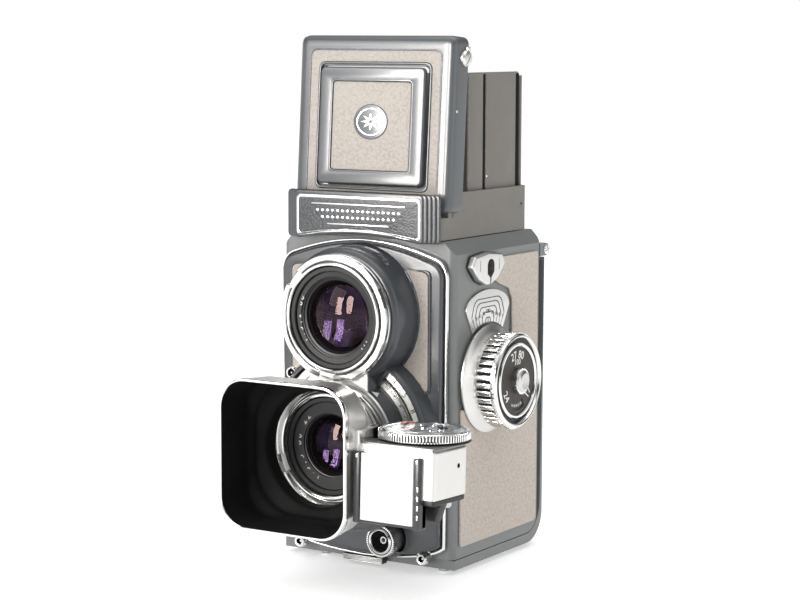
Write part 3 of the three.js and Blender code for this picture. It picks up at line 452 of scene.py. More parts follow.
# A person looking at a face of the camera sees a to the right and b upward, and c comes out towards them.
FACES = {
    "front": rows((1, 0, 0), (0, 0, -1), (0, 1, 0)),
    "back": rows((-1, 0, 0), (0, 0, 1), (0, 1, 0)),
    "right": rows((0, 0, 1), (1, 0, 0), (0, 1, 0)),
    "left": rows((0, 0, -1), (-1, 0, 0), (0, 1, 0)),
    "top": rows((1, 0, 0), (0, 1, 0), (0, 0, 1)),
    "bottom": rows((1, 0, 0), (0, -1, 0), (0, 0, -1)),
}


def moved(a, b, c):
    return Matrix.Translation((a, b, c))


def rotated(angle, axis="Z"):
    return Matrix.Rotation(math.radians(angle), 4, axis)


def polar(radius, angle):
    return radius * math.cos(math.radians(angle)), radius * math.sin(math.radians(angle))


def seat(face, x=0, y=0, z=0, spin=0):
    """The place of a solid whose own origin is at (x, y, z) and that faces one way; spin is in degrees."""
    return moved(x, y, z) @ FACES[face] @ rotated(spin)


def arc(radius, start, end, a=0, b=0, steps=None):
    """Points along an arc, from one angle to the other in degrees."""
    steps = steps or max(3, round(abs(end - start) / 5))
    angles = [math.radians(start + (end - start) * step / steps) for step in range(steps + 1)]
    return [(a + radius * math.cos(angle), b + radius * math.sin(angle)) for angle in angles]


def circle(radius, a=0, b=0, steps=72):
    return arc(radius, 0, 360, a, b, steps)[:-1]


def offset(points, a=0, b=0):
    return [(a + x, b + y) for x, y in points]


def mirrored(points, sign):
    return [(sign * a, b) for a, b in points]


def rectangle(a0, a1, b0, b1, radius):
    return rounded([(a0, b0), (a1, b0), (a1, b1), (a0, b1)], radius)


def rounded(points, radius, steps=6):
    """Rounds each corner of a closed outline; radius is one number or one for each corner."""
    count = len(points)
    radii = radius if isinstance(radius, (list, tuple)) else [radius] * count
    smooth = []
    for index, point in enumerate(points):
        here = Vector(point)
        back = Vector(points[index - 1]) - here
        ahead = Vector(points[(index + 1) % count]) - here
        half = back.angle(ahead) / 2
        reach = radii[index] / math.tan(half)
        if radii[index] <= 0 or half > math.pi / 2 - 0.02:
            smooth.append(tuple(here))
            continue
        start = here + back.normalized() * reach
        end = here + ahead.normalized() * reach
        for step in range(steps + 1):
            part = step / steps
            smooth.append(tuple(start * (1 - part) ** 2 + here * 2 * part * (1 - part) + end * part ** 2))
    return smooth


def lathe(profile, start=0, sweep=360, segments=96):
    """A closed profile of (radius, height) turned about the c axis."""
    solid = bmesh.new()
    whole = sweep == 360
    steps = segments if whole else max(2, round(segments * sweep / 360))
    rings = []
    for step in range(steps if whole else steps + 1):
        angle = math.radians(start + sweep * step / steps)
        rings.append([solid.verts.new((r * math.cos(angle), r * math.sin(angle), c)) for r, c in profile])
    pairs = list(zip(rings, rings[1:] + rings[:1])) if whole else list(zip(rings, rings[1:]))
    for ring, following in pairs:
        for k in range(len(profile)):
            solid.faces.new((ring[k - 1], following[k - 1], following[k], ring[k]))
    if not whole:
        solid.faces.new(rings[0])
        solid.faces.new(reversed(rings[-1]))
    return cleaned(solid)


def washer(inner, outer, low, high, segments=96):
    """A plain ring, or a disc where its inner radius is 0."""
    return lathe([(inner, low), (outer, low), (outer, high), (inner, high)], segments=segments)


def put(solid, place):
    solid.transform(place)
    return solid


def cleaned(solid):
    bmesh.ops.remove_doubles(solid, verts=solid.verts, dist=1e-4)
    bmesh.ops.recalc_face_normals(solid, faces=solid.faces)
    return solid


def from_curve(curve):
    """The solid of a text or outline curve."""
    holder = bpy.data.objects.new("outline", curve)
    mesh = bpy.data.meshes.new_from_object(holder)
    solid = bmesh.new()
    solid.from_mesh(mesh)
    bpy.data.objects.remove(holder)
    bpy.data.curves.remove(curve)
    bpy.data.meshes.remove(mesh)
    return solid


def slab(outline, low, high, holes=(), edge=0.2, steps=2):
    """A plate between two heights with rounded edges, from a flat outline and any holes in it."""
    curve = bpy.data.curves.new("outline", "CURVE")
    curve.dimensions = "2D"
    curve.fill_mode = "BOTH"
    for points in (outline, *holes):
        spline = curve.splines.new("POLY")
        spline.points.add(len(points) - 1)
        for corner, (a, b) in zip(spline.points, points):
            corner.co = (a, b, 0, 1)
        spline.use_cyclic_u = True
    curve.extrude = (high - low) / 2 - edge
    curve.bevel_depth = edge
    curve.bevel_resolution = steps
    curve.offset = -edge
    return cleaned(put(from_curve(curve), moved(0, 0, (high + low) / 2)))


def block(a0, a1, b0, b1, c0, c1, edge=0.25, steps=2):
    """A box with rounded edges."""
    solid = bmesh.new()
    bmesh.ops.create_cube(solid, size=1)
    solid.transform(Matrix.Diagonal((a1 - a0, b1 - b0, c1 - c0, 1)))
    bmesh.ops.bevel(solid, geom=solid.edges[:], offset=edge, segments=steps, profile=0.5, affect="EDGES")
    solid.transform(moved((a0 + a1) / 2, (b0 + b1) / 2, (c0 + c1) / 2))
    return solid


def skin(sections, loop=False):
    """A surface through sections with equal numbers of points; without loop, both ends are closed."""
    solid = bmesh.new()
    rings = [[solid.verts.new(point) for point in section] for section in sections]
    pairs = list(zip(rings, rings[1:] + (rings[:1] if loop else [])))
    for ring, following in pairs:
        for k in range(len(ring)):
            solid.faces.new((ring[k - 1], following[k - 1], following[k], ring[k]))
    if not loop:
        solid.faces.new(rings[0])
        solid.faces.new(reversed(rings[-1]))
    return cleaned(solid)


def knurl(radius, depth, ribs, low, high, edge=0.3, land=0.45):
    """A disc with straight ribs along its rim; land is the share of the pitch that a rib's top takes."""
    def section(height, inset):
        points = []
        for rib in range(ribs):
            for part, sink in ((0, depth), (0.12, depth), (0.24, 0), (0.24 + land, 0), (0.36 + land, depth)):
                angle = 2 * math.pi * (rib + part) / ribs
                reach = radius - sink - inset
                points.append((reach * math.cos(angle), reach * math.sin(angle), height))
        return points
    return skin([section(low, edge), section(low + edge, 0), section(high - edge, 0), section(high, edge)])


def figure(text, size, a=0, b=0, spin=0, height=0, depth=0.06):
    """A generic figure or mark, standing a little proud of the surface it is printed on."""
    curve = bpy.data.curves.new("figure", "FONT")
    curve.body = text
    curve.size = size
    curve.align_x = "CENTER"
    curve.align_y = "CENTER"
    curve.extrude = depth / 2
    curve.resolution_u = 3
    return cleaned(put(from_curve(curve), moved(a, b, height) @ rotated(spin)))


def figure_round(text, size, radius, angle, height, spin=None, depth=0.06):
    """A figure on a circle; it stands across the radius unless it has a spin of its own."""
    return figure(text, size, *polar(radius, angle), angle - 90 if spin is None else spin, height, depth)


def tick(radius, length, width, angle, height, depth=0.06):
    """A short radial line that ends at a radius."""
    line = block(radius - length, radius, -width / 2, width / 2, height - depth, height + depth, 0.02, 1)
    return put(line, rotated(angle))


def object_of(solid):
    mesh = bpy.data.meshes.new("working")
    solid.to_mesh(mesh)
    return bpy.data.objects.new("working", mesh)


def carved(solid, *tools, operation="DIFFERENCE"):
    """One solid less, or joined with, others."""
    base = object_of(solid)
    helpers = [object_of(tool) for tool in tools]
    for item in (base, *helpers):
        bpy.context.collection.objects.link(item)
    for helper in helpers:
        step = base.modifiers.new("carve", "BOOLEAN")
        step.operation = operation
        step.solver = "EXACT"
        step.object = helper
    mesh = bpy.data.meshes.new_from_object(base.evaluated_get(bpy.context.evaluated_depsgraph_get()))
    result = bmesh.new()
    result.from_mesh(mesh)
    for item in (base, *helpers):
        bpy.data.meshes.remove(item.data)
    bpy.data.meshes.remove(mesh)
    return result


def node_solid(node):
    """A CAD node's own solid, in the camera's axes."""
    solid = bmesh.new()
    solid.from_mesh(frame["nodes"][node].data)
    shift = Matrix.Translation([-value for value in DATUM]) @ Matrix.Scale(1 / MM, 4)
    solid.transform(shift @ frame["nodes"][node].matrix_world)
    bmesh.ops.remove_doubles(solid, verts=solid.verts, dist=2e-3)
    bmesh.ops.dissolve_limit(solid, angle_limit=math.radians(1), verts=solid.verts, edges=solid.edges)
    return solid


BODY_OF = {node: body for body, nodes in frame["record"]["behaviour"]["bodies"].items() for node in nodes}


class Piece:
    """A detailed mesh that stands for CAD nodes and rides on their body; each solid has its own finish."""

    def __init__(self, name, nodes, slot, base=Matrix.Identity(4), extra=False):
        self.name, self.slot, self.base = name, slot, base
        self.nodes = (nodes,) if isinstance(nodes, str) else nodes
        self.extra = extra
        self.solid = bmesh.new()
        self.finishes = []

    def add(self, finish, place, *solids):
        if finish not in self.finishes:
            self.finishes.append(finish)
        for solid in solids:
            solid.transform(self.base @ place)
            for face in solid.faces:
                face.material_index = self.finishes.index(finish)
                face.smooth = True
            mesh = bpy.data.meshes.new("working")
            solid.to_mesh(mesh)
            self.solid.from_mesh(mesh)
            bpy.data.meshes.remove(mesh)
            solid.free()
        return self

    def lathe(self, finish, place, profile, segments=96, a=0, b=0):
        return self.add(finish, place, lathe(offset(profile, a, b), segments=segments))

    def washer(self, finish, place, *sizes, **details):
        return self.add(finish, place, washer(*sizes, **details))

    def slab(self, finish, place, *sizes, **details):
        return self.add(finish, place, slab(*sizes, **details))

    def block(self, finish, place, *sizes, **details):
        return self.add(finish, place, block(*sizes, **details))

    def place(self, crease=32, even=False):
        """Puts the finished piece into the scene; edges sharper than the crease angle stay crisp.

        An even piece keeps its large faces flat and lets the narrow ones beside them take the curve.
        """
        self.solid.transform(Matrix.Scale(MM, 4) @ Matrix.Translation(list(DATUM)))
        mesh = bpy.data.meshes.new(self.name)
        self.solid.to_mesh(mesh)
        self.solid.free()
        for finish in self.finishes:
            mesh.materials.append(FINISHES[finish].material)
        mesh.set_sharp_from_angle(angle=math.radians(crease))
        item = bpy.data.objects.new(self.name, mesh)
        bpy.context.collection.objects.link(item)
        if even:
            item.modifiers.new("even", "WEIGHTED_NORMAL").keep_sharp = True
            graph = bpy.context.evaluated_depsgraph_get()
            smooth = bpy.data.meshes.new_from_object(item.evaluated_get(graph))
            item.modifiers.clear()
            item.data = smooth
            bpy.data.meshes.remove(mesh)
        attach(item, BODY_OF[self.nodes[0]])
        if not self.extra:
            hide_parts(*self.nodes)
        return item


def plain_piece(name, node, finish, place, solid):
    """A piece of one solid, whose slot has its finish's name."""
    Piece(name, node, finish).add(finish, place, solid).place()


def leaning(x, y, z, angle):
    """The frame of something that leans about a line along x through a point."""
    return moved(x, y, z) @ rotated(angle, "X")


# ---------------------------------------------------------------- body and side fittings

BARREL = local("hinge_rod")
LUG = local("strap_lug_right")


def body_casting():
    shell = Piece("body_shell_look", "body_shell", "body_paint")
    shell.add("body_paint", Matrix.Identity(4), node_solid("body_shell"))
    shell.place(even=True)
    caps = Piece("hinge_screws", "hinge_rod", "chrome", extra=True)
    for side, sign in SIDES.items():
        head = lathe([(0, 0), (1.75, 0), (1.75, 0.35), (1.4, 0.7), (0, 0.85)], segments=40)
        slots = [
            block(-2, 2, -0.16, 0.16, 0.4, 1.2, edge=0.02), block(-0.16, 0.16, -2, 2, 0.4, 1.2, edge=0.02),
        ]
        caps.add("chrome", seat(side, sign * HALF, BARREL.mid[1], BARREL.mid[2], 20), carved(head, *slots))
    caps.place()


def side_covers():
    """Leatherette panels, set in from the casting's edges."""
    box = local("leather_right")
    back, low, high, front = box.high[1], box.low[2], box.high[2], box.low[1]
    outline = [(front, low), (back, low), (back, high), (28.6, high)] + lug_edge(0.35)
    outline += [
        (26.6, 88.6), (33, 86.6), (35.2, 83), (35.2, KNOB_Z - 4), (KNOB_Y, KNOB_Z - 12),
        (front, KNOB_Z - 8),
    ]
    radii = [1.4, 2.2, 1.2, 0.5] + [0] * len(lug_edge(0.35)) + [1.6, 1.6, 1.5, 0, 0, 0.8]
    panel = slab(rounded(outline, radii), 0.05, box.high[0] - HALF, edge=0.22)
    plain_piece("side_leather_right", "leather_right", "leatherette", seat("right", HALF), panel)
    box = local("leather_left")
    outline = rectangle(-back, -front, low, high, 1.4)
    knobs = local("wind_knob"), local("supply_knob")
    holes = [circle(knob.size[2] / 2 + 0.6, -knob.mid[1], knob.mid[2]) for knob in knobs]
    holes.append(mirrored(lug_outline(0.5), -1))
    panel = slab(outline, 0.05, -HALF - box.low[0], holes, edge=0.22)
    plain_piece("side_leather_left", "leather_left", "leatherette", seat("left", -HALF), panel)
    box = local("leather_back")
    panel = slab(rectangle(box.low[0], box.high[0], box.low[2], box.high[2], 2), -0.2, box.size[1], edge=0.22)
    plain_piece("back_leather", "leather_back", "leatherette", seat("back", 0, box.low[1]), panel)


def lug_outline(grow=0.0):
    """The lug on the body's side: a shield that narrows downward, as (y, z)."""
    half, rise = LUG.size[1] / 2 + grow, LUG.size[2] / 2 + grow
    side = [(1.6, -rise), (5.8 + grow * 0.4, -3.4 - grow), (half, 1), (8.4 + grow, 4.2 + grow * 0.4)]
    shield = side + [(0, rise)] + [(-y, z) for y, z in reversed(side)]
    return rounded([(LUG.mid[1] + y, LUG.mid[2] + z) for y, z in shield], 0.7, steps=3)


def lug_edge(grow):
    """The lug's outline beside the leather, from its upper corner down to its lower right one."""
    y, z = LUG.mid[1] + 5.2, LUG.mid[2] + 2
    return [point for point in lug_outline(grow) if point[0] > y and point[1] < z][::-1]


def strap_lugs():
    """A thick bright shield with a keyhole slot in it and two engraved lines."""
    hole, low = LUG.mid[1] + 1.0, LUG.low[2]
    keyhole = offset([(-0.45, low - 1), (0.1, low - 1), (0.25, low + 2.2), (2.1, low + 4.0)], a=hole)
    keyhole += arc(2.1, 0, 180, hole, LUG.high[2] - 4.2)
    keyhole += offset([(-2.1, low + 3.4), (-0.5, low + 2.2)], a=hole)
    for side, sign in SIDES.items():
        high = LUG.size[0] + 0.3
        button = slab(mirrored(lug_outline(), sign), 0.25, high, edge=0.65, steps=4)
        cutter = slab(mirrored(keyhole, sign), 0.6, high + 2, edge=0.01)
        lines = []
        for aside in (-5.6, 6.2):
            a, b = sign * LUG.mid[1] + aside, LUG.mid[2]
            lines.append(block(a - 0.14, a + 0.14, b - 0.6, b + 3, high - 0.25, high + 1, edge=0.02))
        lug = Piece(f"lug_{side}", f"strap_lug_{side}", "chrome")
        place = seat(side, sign * HALF)
        lug.add("satin_metal", place, carved(button, cutter, *lines))
        # Painted shade: a black sheet under the keyhole makes the slot's floor read dark.
        lug.slab("matt_black", place, mirrored(lug_outline(-1.0), sign), 0.45, 0.75, edge=0.05)
        lug.slab("black_metal", place, mirrored(lug_outline(0.28), sign), 0.02, 0.3, edge=0.05)
        lug.place()


def scale_fan(inset):
    """The depth scale's outline about the knob's axis; it spreads upward and its top is domed."""
    foot, flare, low, high = 9.5 - inset, 13.6 - inset, 22.5, 26.6 - inset
    base = math.sqrt(18 ** 2 - foot ** 2)
    right = bend((flare, low), (flare - 0.4, high - 1.2), (8.6, high + 0.4))
    right += bend((8.6, high + 0.4), (4.6, high + 1.8), (0, high + 1.8))
    left = mirrored(reversed(right), -1)
    spread = math.degrees(math.atan2(base, foot))
    rim = arc(18, 180 - spread, spread)[1:-1]
    return [(foot, base)] + right + [(0, high + 1.8)] + left + [(-foot, base)] + rim


def depth_scale_plate():
    """Nested arches, one for each stop, with generic figures where they end."""
    box = local("depth_scale")
    top = box.high[0] - HALF
    place = seat("right", HALF, KNOB_Y, KNOB_Z)
    plate = Piece("depth_plate", "depth_scale", "satin_metal")
    plate.slab("satin_metal", place, scale_fan(0), 0.05, top - 0.06, edge=0.1)
    arches = (
        ("22", 1.7, 19.6, 1.3), ("16", 3.9, 21.4, 2.2), ("11", 6.1, 23.0, 3.2), ("8", 8.3, 24.5, 4.4),
        ("5", 10.4, 25.8, 5.6),
    )
    for value, half, peak, radius in arches:
        foot = half * 0.72
        outer = rounded(
            [
                (foot, 15.5), (half, peak - radius), (half * 0.8, peak), (-half * 0.8, peak),
                (-half, peak - radius), (-foot, 15.5),
            ],
            [0, 1, radius * 0.7, radius * 0.7, 1, 0],
        )
        inner = [(a * (1 - 0.3 / half), b if b < 16 else b - 0.3) for a, b in outer]
        line = carved(
            slab(outer, top - 0.1, top - 0.02, edge=0.01, steps=0),
            slab(inner, top - 1, top + 1, edge=0.01, steps=0),
        )
        trim = slab(scale_fan(0.3), top - 1, top + 1, edge=0.01)
        plate.add("black_ink", place, carved(line, trim, operation="INTERSECT"))
        for sign in (-1, 1):
            plate.add(
                "black_ink", place,
                figure(value, 1.7, sign * (half - 1.15), 21.9 - 0.28 * half, height=top - 0.03),
            )
    plate.block("black_ink", place, -0.14, 0.14, 18.1, 19.2, top - 0.1, top - 0.01, edge=0.02)
    plate.place()


# ---------------------------------------------------------------- focusing knob

def focusing_knob():
    place = seat("right", 0, KNOB_Y, KNOB_Z)
    flange = local("focus_flange")
    wide, low, high = flange.size[2] / 2, flange.low[0], flange.high[0]
    skirt = Piece("focus_skirt", "focus_flange", "satin_metal")
    cone = [
        (4, low), (wide - 0.5, low), (wide, low + 0.25), (wide, low + 0.7), (wide - 0.25, low + 1.0),
        (wide - 1.6, low + 1.7), (13.9, high - 0.7), (13.4, high), (4, high),
    ]
    skirt.lathe("satin_metal", place, cone, 144)
    distances = ("1", "2", "3", "5", "10")
    for number in range(13):
        angle = 60 + 5 * number
        tilted = place @ rotated(angle) @ moved(14.4, 0, low + 2.9)
        tilted = tilted @ rotated(50, "Y")
        start = -0.9 if number % 3 else -1.3
        skirt.block("black_ink", tilted, start, 0.2, -0.09, 0.09, -0.03, 0.03, edge=0.01, steps=1)
        if number % 3 == 1:
            turned = tilted @ moved(1.4, 0, 0) @ rotated(-90)
            skirt.add("black_ink", turned, figure(distances[number // 3], 1.5))
    skirt.place()

    rim, foot = KNOB.size[2] / 2, KNOB.low[0]
    knob = Piece("focus_knob_look", ("focus_knob", "focus_shaft"), "satin_metal")
    # Painted shade: a black core, seen only between the chrome ribs, stands for the shade in the gaps.
    knob.washer("matt_black", place, 3, rim - 0.9, foot, KNOB_FACE - 2.2)
    ribs = 38
    for number in range(ribs):
        rib = block(rim - 1.5, rim - 0.02, -0.82, 0.82, foot + 0.25, KNOB_FACE - 1.9, edge=0.36, steps=3)
        knob.add("chrome", place, put(rib, Matrix.Rotation(2 * math.pi * number / ribs, 4, "Z")))
    well = washer(0, 13.5, KNOB_FACE - 1.75, KNOB_FACE + 1, segments=96)
    crown = knurl(rim + 0.02, 0.34, 76, KNOB_FACE - 2.0, KNOB_FACE - 0.9, edge=0.15)
    knob.add("chrome", place, carved(crown, well))
    dish = offset([(13.3, -1.9), (rim - 0.3, -1.6), (rim - 0.35, -0.75), (rim - 0.8, -0.15)], b=KNOB_FACE)
    dish += offset([(rim - 1.2, 0), (rim - 1.55, -0.15), (13.4, -0.75), (13.3, -1.2)], b=KNOB_FACE)
    knob.lathe("chrome", place, dish, 144)
    # Painted shade: the groove between the rim and the inner chrome ring is black, for the shadow in it.
    knob.washer("black_metal", place, 11.0, 13.4, KNOB_FACE - 2.3, KNOB_FACE - 1.7)
    ring = offset(
        [(10.85, -2.2), (12.0, -2.2), (12.0, -0.6), (11.7, -0.25), (11.15, -0.25), (10.85, -0.6)],
        b=KNOB_FACE,
    )
    knob.lathe("chrome", place, ring, 144)
    knob.washer("steel", place, 0, 2.9, local("focus_shaft").low[0], KNOB_FACE - 2.3, 48)
    knob.place()

    dial = Piece("film_speed_look", "film_speed_dial", "black_metal")
    face = KNOB_FACE - 0.75
    window = rounded(arc(9.4, 242, 298) + arc(6.6, 298, 242), 0)
    plate = carved(
        lathe(offset([(0, -0.9), (10.75, -0.9), (10.75, -0.15), (10.55, 0), (0, 0)], b=face), segments=120),
        slab(window, face - 0.35, face + 1, edge=0.01),
    )
    dial.add("dial_brown", place, plate)
    for text, radius, angle in (
        ("27", 8.2, 106), ("80", 8.2, 74), ("24", 8.2, 212), ("17", 8.2, 326), ("100", 5.9, 90),
    ):
        spin = angle - 90 if angle < 180 else angle - 270
        size = 3.6 if radius > 7 else 2.6
        dial.add("white_ink", place, figure_round(text, size, radius, angle, face, spin, depth=0.1))
    for number, value in enumerate(("16", "18", "20", "22", "25")):
        angle = 250 + 10 * number
        dial.add("white_ink", place, figure_round(value, 1.2, 8, angle, face - 0.34, angle - 270))
    boss = local("film_speed_dial").high[0]
    dial.add("chrome", place, knurl(4.15, 0.22, 40, face - 0.1, boss - 0.75, edge=0.12))
    crown = [
        (0, face), (3.5, face), (3.5, boss - 0.7), (3.1, boss - 0.25), (2.5, boss), (1.9, boss - 0.15),
        (0, boss - 0.4),
    ]
    dial.lathe("steel", place, crown, 64)
    dial.place()


# ---------------------------------------------------------------- winding side

def wind_and_supply_knobs():
    for node, ribs in (("wind_knob", 30), ("supply_knob", 18)):
        box = local(node)
        rim = box.size[2] / 2
        high = -HALF - box.low[0]
        place = seat("left", -HALF, box.mid[1], box.mid[2])
        knob = Piece(f"{node}_look", node, "satin_metal")
        well = washer(0, rim - 1.0, high - 1.5, high + 1)
        knob.add("chrome", place, carved(knurl(rim, 0.7, ribs, 1.3, high - 0.5, edge=0.3), well))
        top = offset(
            [
                (0, -1.1), (rim * 0.62, -1.1), (rim * 0.68, -0.3), (rim - 1.6, -0.05), (rim - 1.1, -0.4),
                (rim - 1.1, -1.6), (0, -1.6),
            ],
            b=high,
        )
        knob.lathe("steel", place, top)
        knob.lathe(
            "black_metal", place,
            [(0, -1.2), (rim * 0.6, -1.2), (rim * 0.6, -1.0), (rim * 0.3, -0.95), (0, -0.95)], b=high,
        )
        knob.lathe(
            "chrome", place,
            [(0, -1), (rim * 0.2, -1), (rim * 0.2, -0.55), (rim * 0.12, -0.35), (0, -0.3)], 48, b=high,
        )
        inner = -HALF - box.high[0] + 0.1
        knob.washer("steel", place, 0, 2.9, inner, 1.4, segments=40)
        knob.place()


# ---------------------------------------------------------------- front standard

PLATE = local("front_plate")
PLATE_HALF = PLATE.high[0]
PLATE_FACE = 4.0
RELEASE_AT = local("release_collar").mid[0], local("release_collar").mid[2]
SOCKET_AT = local("flash_socket").mid[0], local("flash_socket").mid[2]
COWL_FACE = -PLATE.low[1]
UPPER_COWL, LOWER_COWL, STEP = 21.6, 29.4, 11.2


def bend(start, control, end, steps=12):
    """Points along a quadratic curve, without its last one."""
    points = []
    for step in range(steps):
        part = step / steps
        points.append(tuple(
            s * (1 - part) ** 2 + 2 * m * part * (1 - part) + e * part ** 2
            for s, m, e in zip(start, control, end)
        ))
    return points


def plate_outline(inset):
    """The standard's outline: straight sides, a bulging lower edge and an arched top."""
    half, low, crown = PLATE_HALF - inset, PLATE.low[2] + inset, PLATE.high[2] - inset
    side, high, shoulder = low + 6.1, crown - 9.7 + inset, crown - 4.6
    right = bend((0, low), (half - 4, low + 0.8), (half, side))
    right += bend((half, high), (half - 0.6, shoulder - 1), (half - 5, shoulder))
    right += bend((half - 5, shoulder), (half * 0.4, crown), (0, crown))
    left = mirrored(reversed(right[1:]), -1)
    return right + [(0, crown)] + left


def front_panel(grow=0.0):
    """The right-hand leather panel, between the frame and the cowlings, with a small round lower tip."""
    upper, lower = UPPER_COWL + 1 - grow, LOWER_COWL + 0.2 - grow
    reach = 25.6 + grow
    tip = 0.9 + grow
    lift = VIEWING_Z - TAKING_Z
    along = (lower ** 2 - upper ** 2 + lift ** 2) / (2 * lift)
    meet = math.sqrt(lower ** 2 - along ** 2)
    below = math.degrees(math.atan2(along - lift, meet))
    above = math.degrees(math.atan2(along, meet))
    down = math.sqrt((lower + tip) ** 2 - (reach - tip) ** 2)
    touch = math.degrees(math.atan2(down, reach - tip))
    outline = arc(upper, 41.4 + grow * 2, below, 0, VIEWING_Z)[:-1]
    outline += arc(lower, above, touch, 0, TAKING_Z)
    outline += arc(tip, touch + 180, 360, reach - tip, TAKING_Z + down, 8)[1:]
    outline += [(reach, 94.2 + grow)]
    return rounded(outline, [0.5 + grow * 0.5] + [0] * (len(outline) - 2) + [2.2])


def front_plate():
    place = seat("front")
    bores = [
        circle(12.5, 0, VIEWING_Z), circle(21.0, 0, TAKING_Z), circle(5.5, *RELEASE_AT),
        circle(2.2, *SOCKET_AT),
    ]
    plate = Piece("front_plate_look", "front_plate", "front_paint")
    outline = plate_outline(0)
    plate.slab("front_paint", place, outline, 0.3, PLATE_FACE, bores, edge=0.9, steps=4)
    upper = lathe(
        [
            (12.5, 3), (UPPER_COWL + 0.9, 3), (UPPER_COWL + 0.5, 4.25), (UPPER_COWL + 0.1, 4.9),
            (UPPER_COWL, 6), (UPPER_COWL, COWL_FACE - 2.6), (UPPER_COWL - 0.35, COWL_FACE - 1.3),
            (UPPER_COWL - 1.2, COWL_FACE - 0.35), (UPPER_COWL - 2.4, COWL_FACE), (12.5, COWL_FACE),
        ],
        segments=144,
    )
    upper.transform(moved(0, VIEWING_Z, 0))
    bore = put(washer(0, 20.9, 0, 30, segments=144), moved(0, TAKING_Z, 0))
    plate.add("front_paint", place, carved(upper, bore))
    lower = lathe(
        [
            (27.8, 3), (LOWER_COWL + 0.8, 3), (LOWER_COWL + 0.4, 4.25), (LOWER_COWL, 5.2),
            (LOWER_COWL, STEP - 1.8), (LOWER_COWL - 0.3, STEP - 0.7), (LOWER_COWL - 1.0, STEP),
            (27.8, STEP),
        ],
        segments=168,
    )
    around = moved(0, TAKING_Z, 0)
    lower.transform(around)
    plate.add("front_paint", place, lower)
    for start, sweep in ((58, 64), (200, 140)):
        web = lathe([(20.9, STEP - 2), (27.9, STEP - 2), (27.9, STEP), (20.9, STEP)], start, sweep)
        plate.add("front_paint", place, put(web, around))
    lip = [
        (19.9, 6.4), (21.15, 6.4), (21.15, STEP - 1.1), (20.9, STEP - 0.7), (20.4, STEP - 0.5),
        (19.9, STEP - 0.7),
    ]
    for start in (-21, 121):
        plate.add("front_paint", place, put(lathe(lip, start, 80), around))
    plate.add("matt_black", place, put(washer(19.9, 28, 5.6, 6.4), around))
    for sign in (1, -1):
        lip, opening = (mirrored(front_panel(grow), sign) for grow in (0.8, 0.0))
        plate.slab(
            "front_paint", place, lip, PLATE_FACE - 0.4, PLATE_FACE + 0.7, [opening], edge=0.34, steps=4,
        )
    dots = [
        block(24.1 + 0.1 * n, 24.3 + 0.1 * n, 50.2 - n, 50.4 - n, 0, 0.04, edge=0.02, steps=1)
        for n in range(5)
    ]
    for dot in dots:
        dot.transform(moved(3.4, 0, PLATE_FACE))
    plate.add("white_ink", place, *dots)
    plate.slab("black_metal", place, plate_outline(-0.62), 0.35, PLATE_FACE - 2.6, bores, edge=0.1)
    plate.place()

    box = local("leather_front_right")
    for side, sign in SIDES.items():
        outline = mirrored(front_panel(-0.08), sign)
        panel = slab(outline, PLATE_FACE - 0.2, -box.low[1] - 0.05, edge=0.2)
        plain_piece(f"front_leather_{side}", f"leather_front_{side}", "leatherette", place, panel)


def front_trim():
    """A bright strip round the standard, which dips round the two corner studs."""
    box = local("front_trim")
    low, high = -box.high[1], -box.low[1]
    place = seat("front")
    trim = Piece("front_strip", "front_trim", "chrome")
    strip = slab(plate_outline(-1.15), low, high, [plate_outline(-0.5)], edge=0.28, steps=3)
    stud = local("corner_stud_right")
    half = stud.size[0] / 2
    cutters = []
    for sign in (1, -1):
        cutter = washer(0, half + 0.35, low - 1, high + 1)
        cutters.append(put(cutter, moved(sign * stud.mid[0], stud.mid[2], 0)))
    trim.add("chrome", place, carved(strip, *cutters))
    edge = high - 0.25
    profile = offset([(0.3, low), (1.0, low), (1.0, edge), (0.8, high), (0.5, high), (0.3, edge)], a=half)
    for sign, start in ((1, 20), (-1, 10)):
        dip = lathe(profile, start, 150)
        trim.add("chrome", place, put(dip, moved(sign * stud.mid[0], stud.mid[2], 0)))
    trim.place()


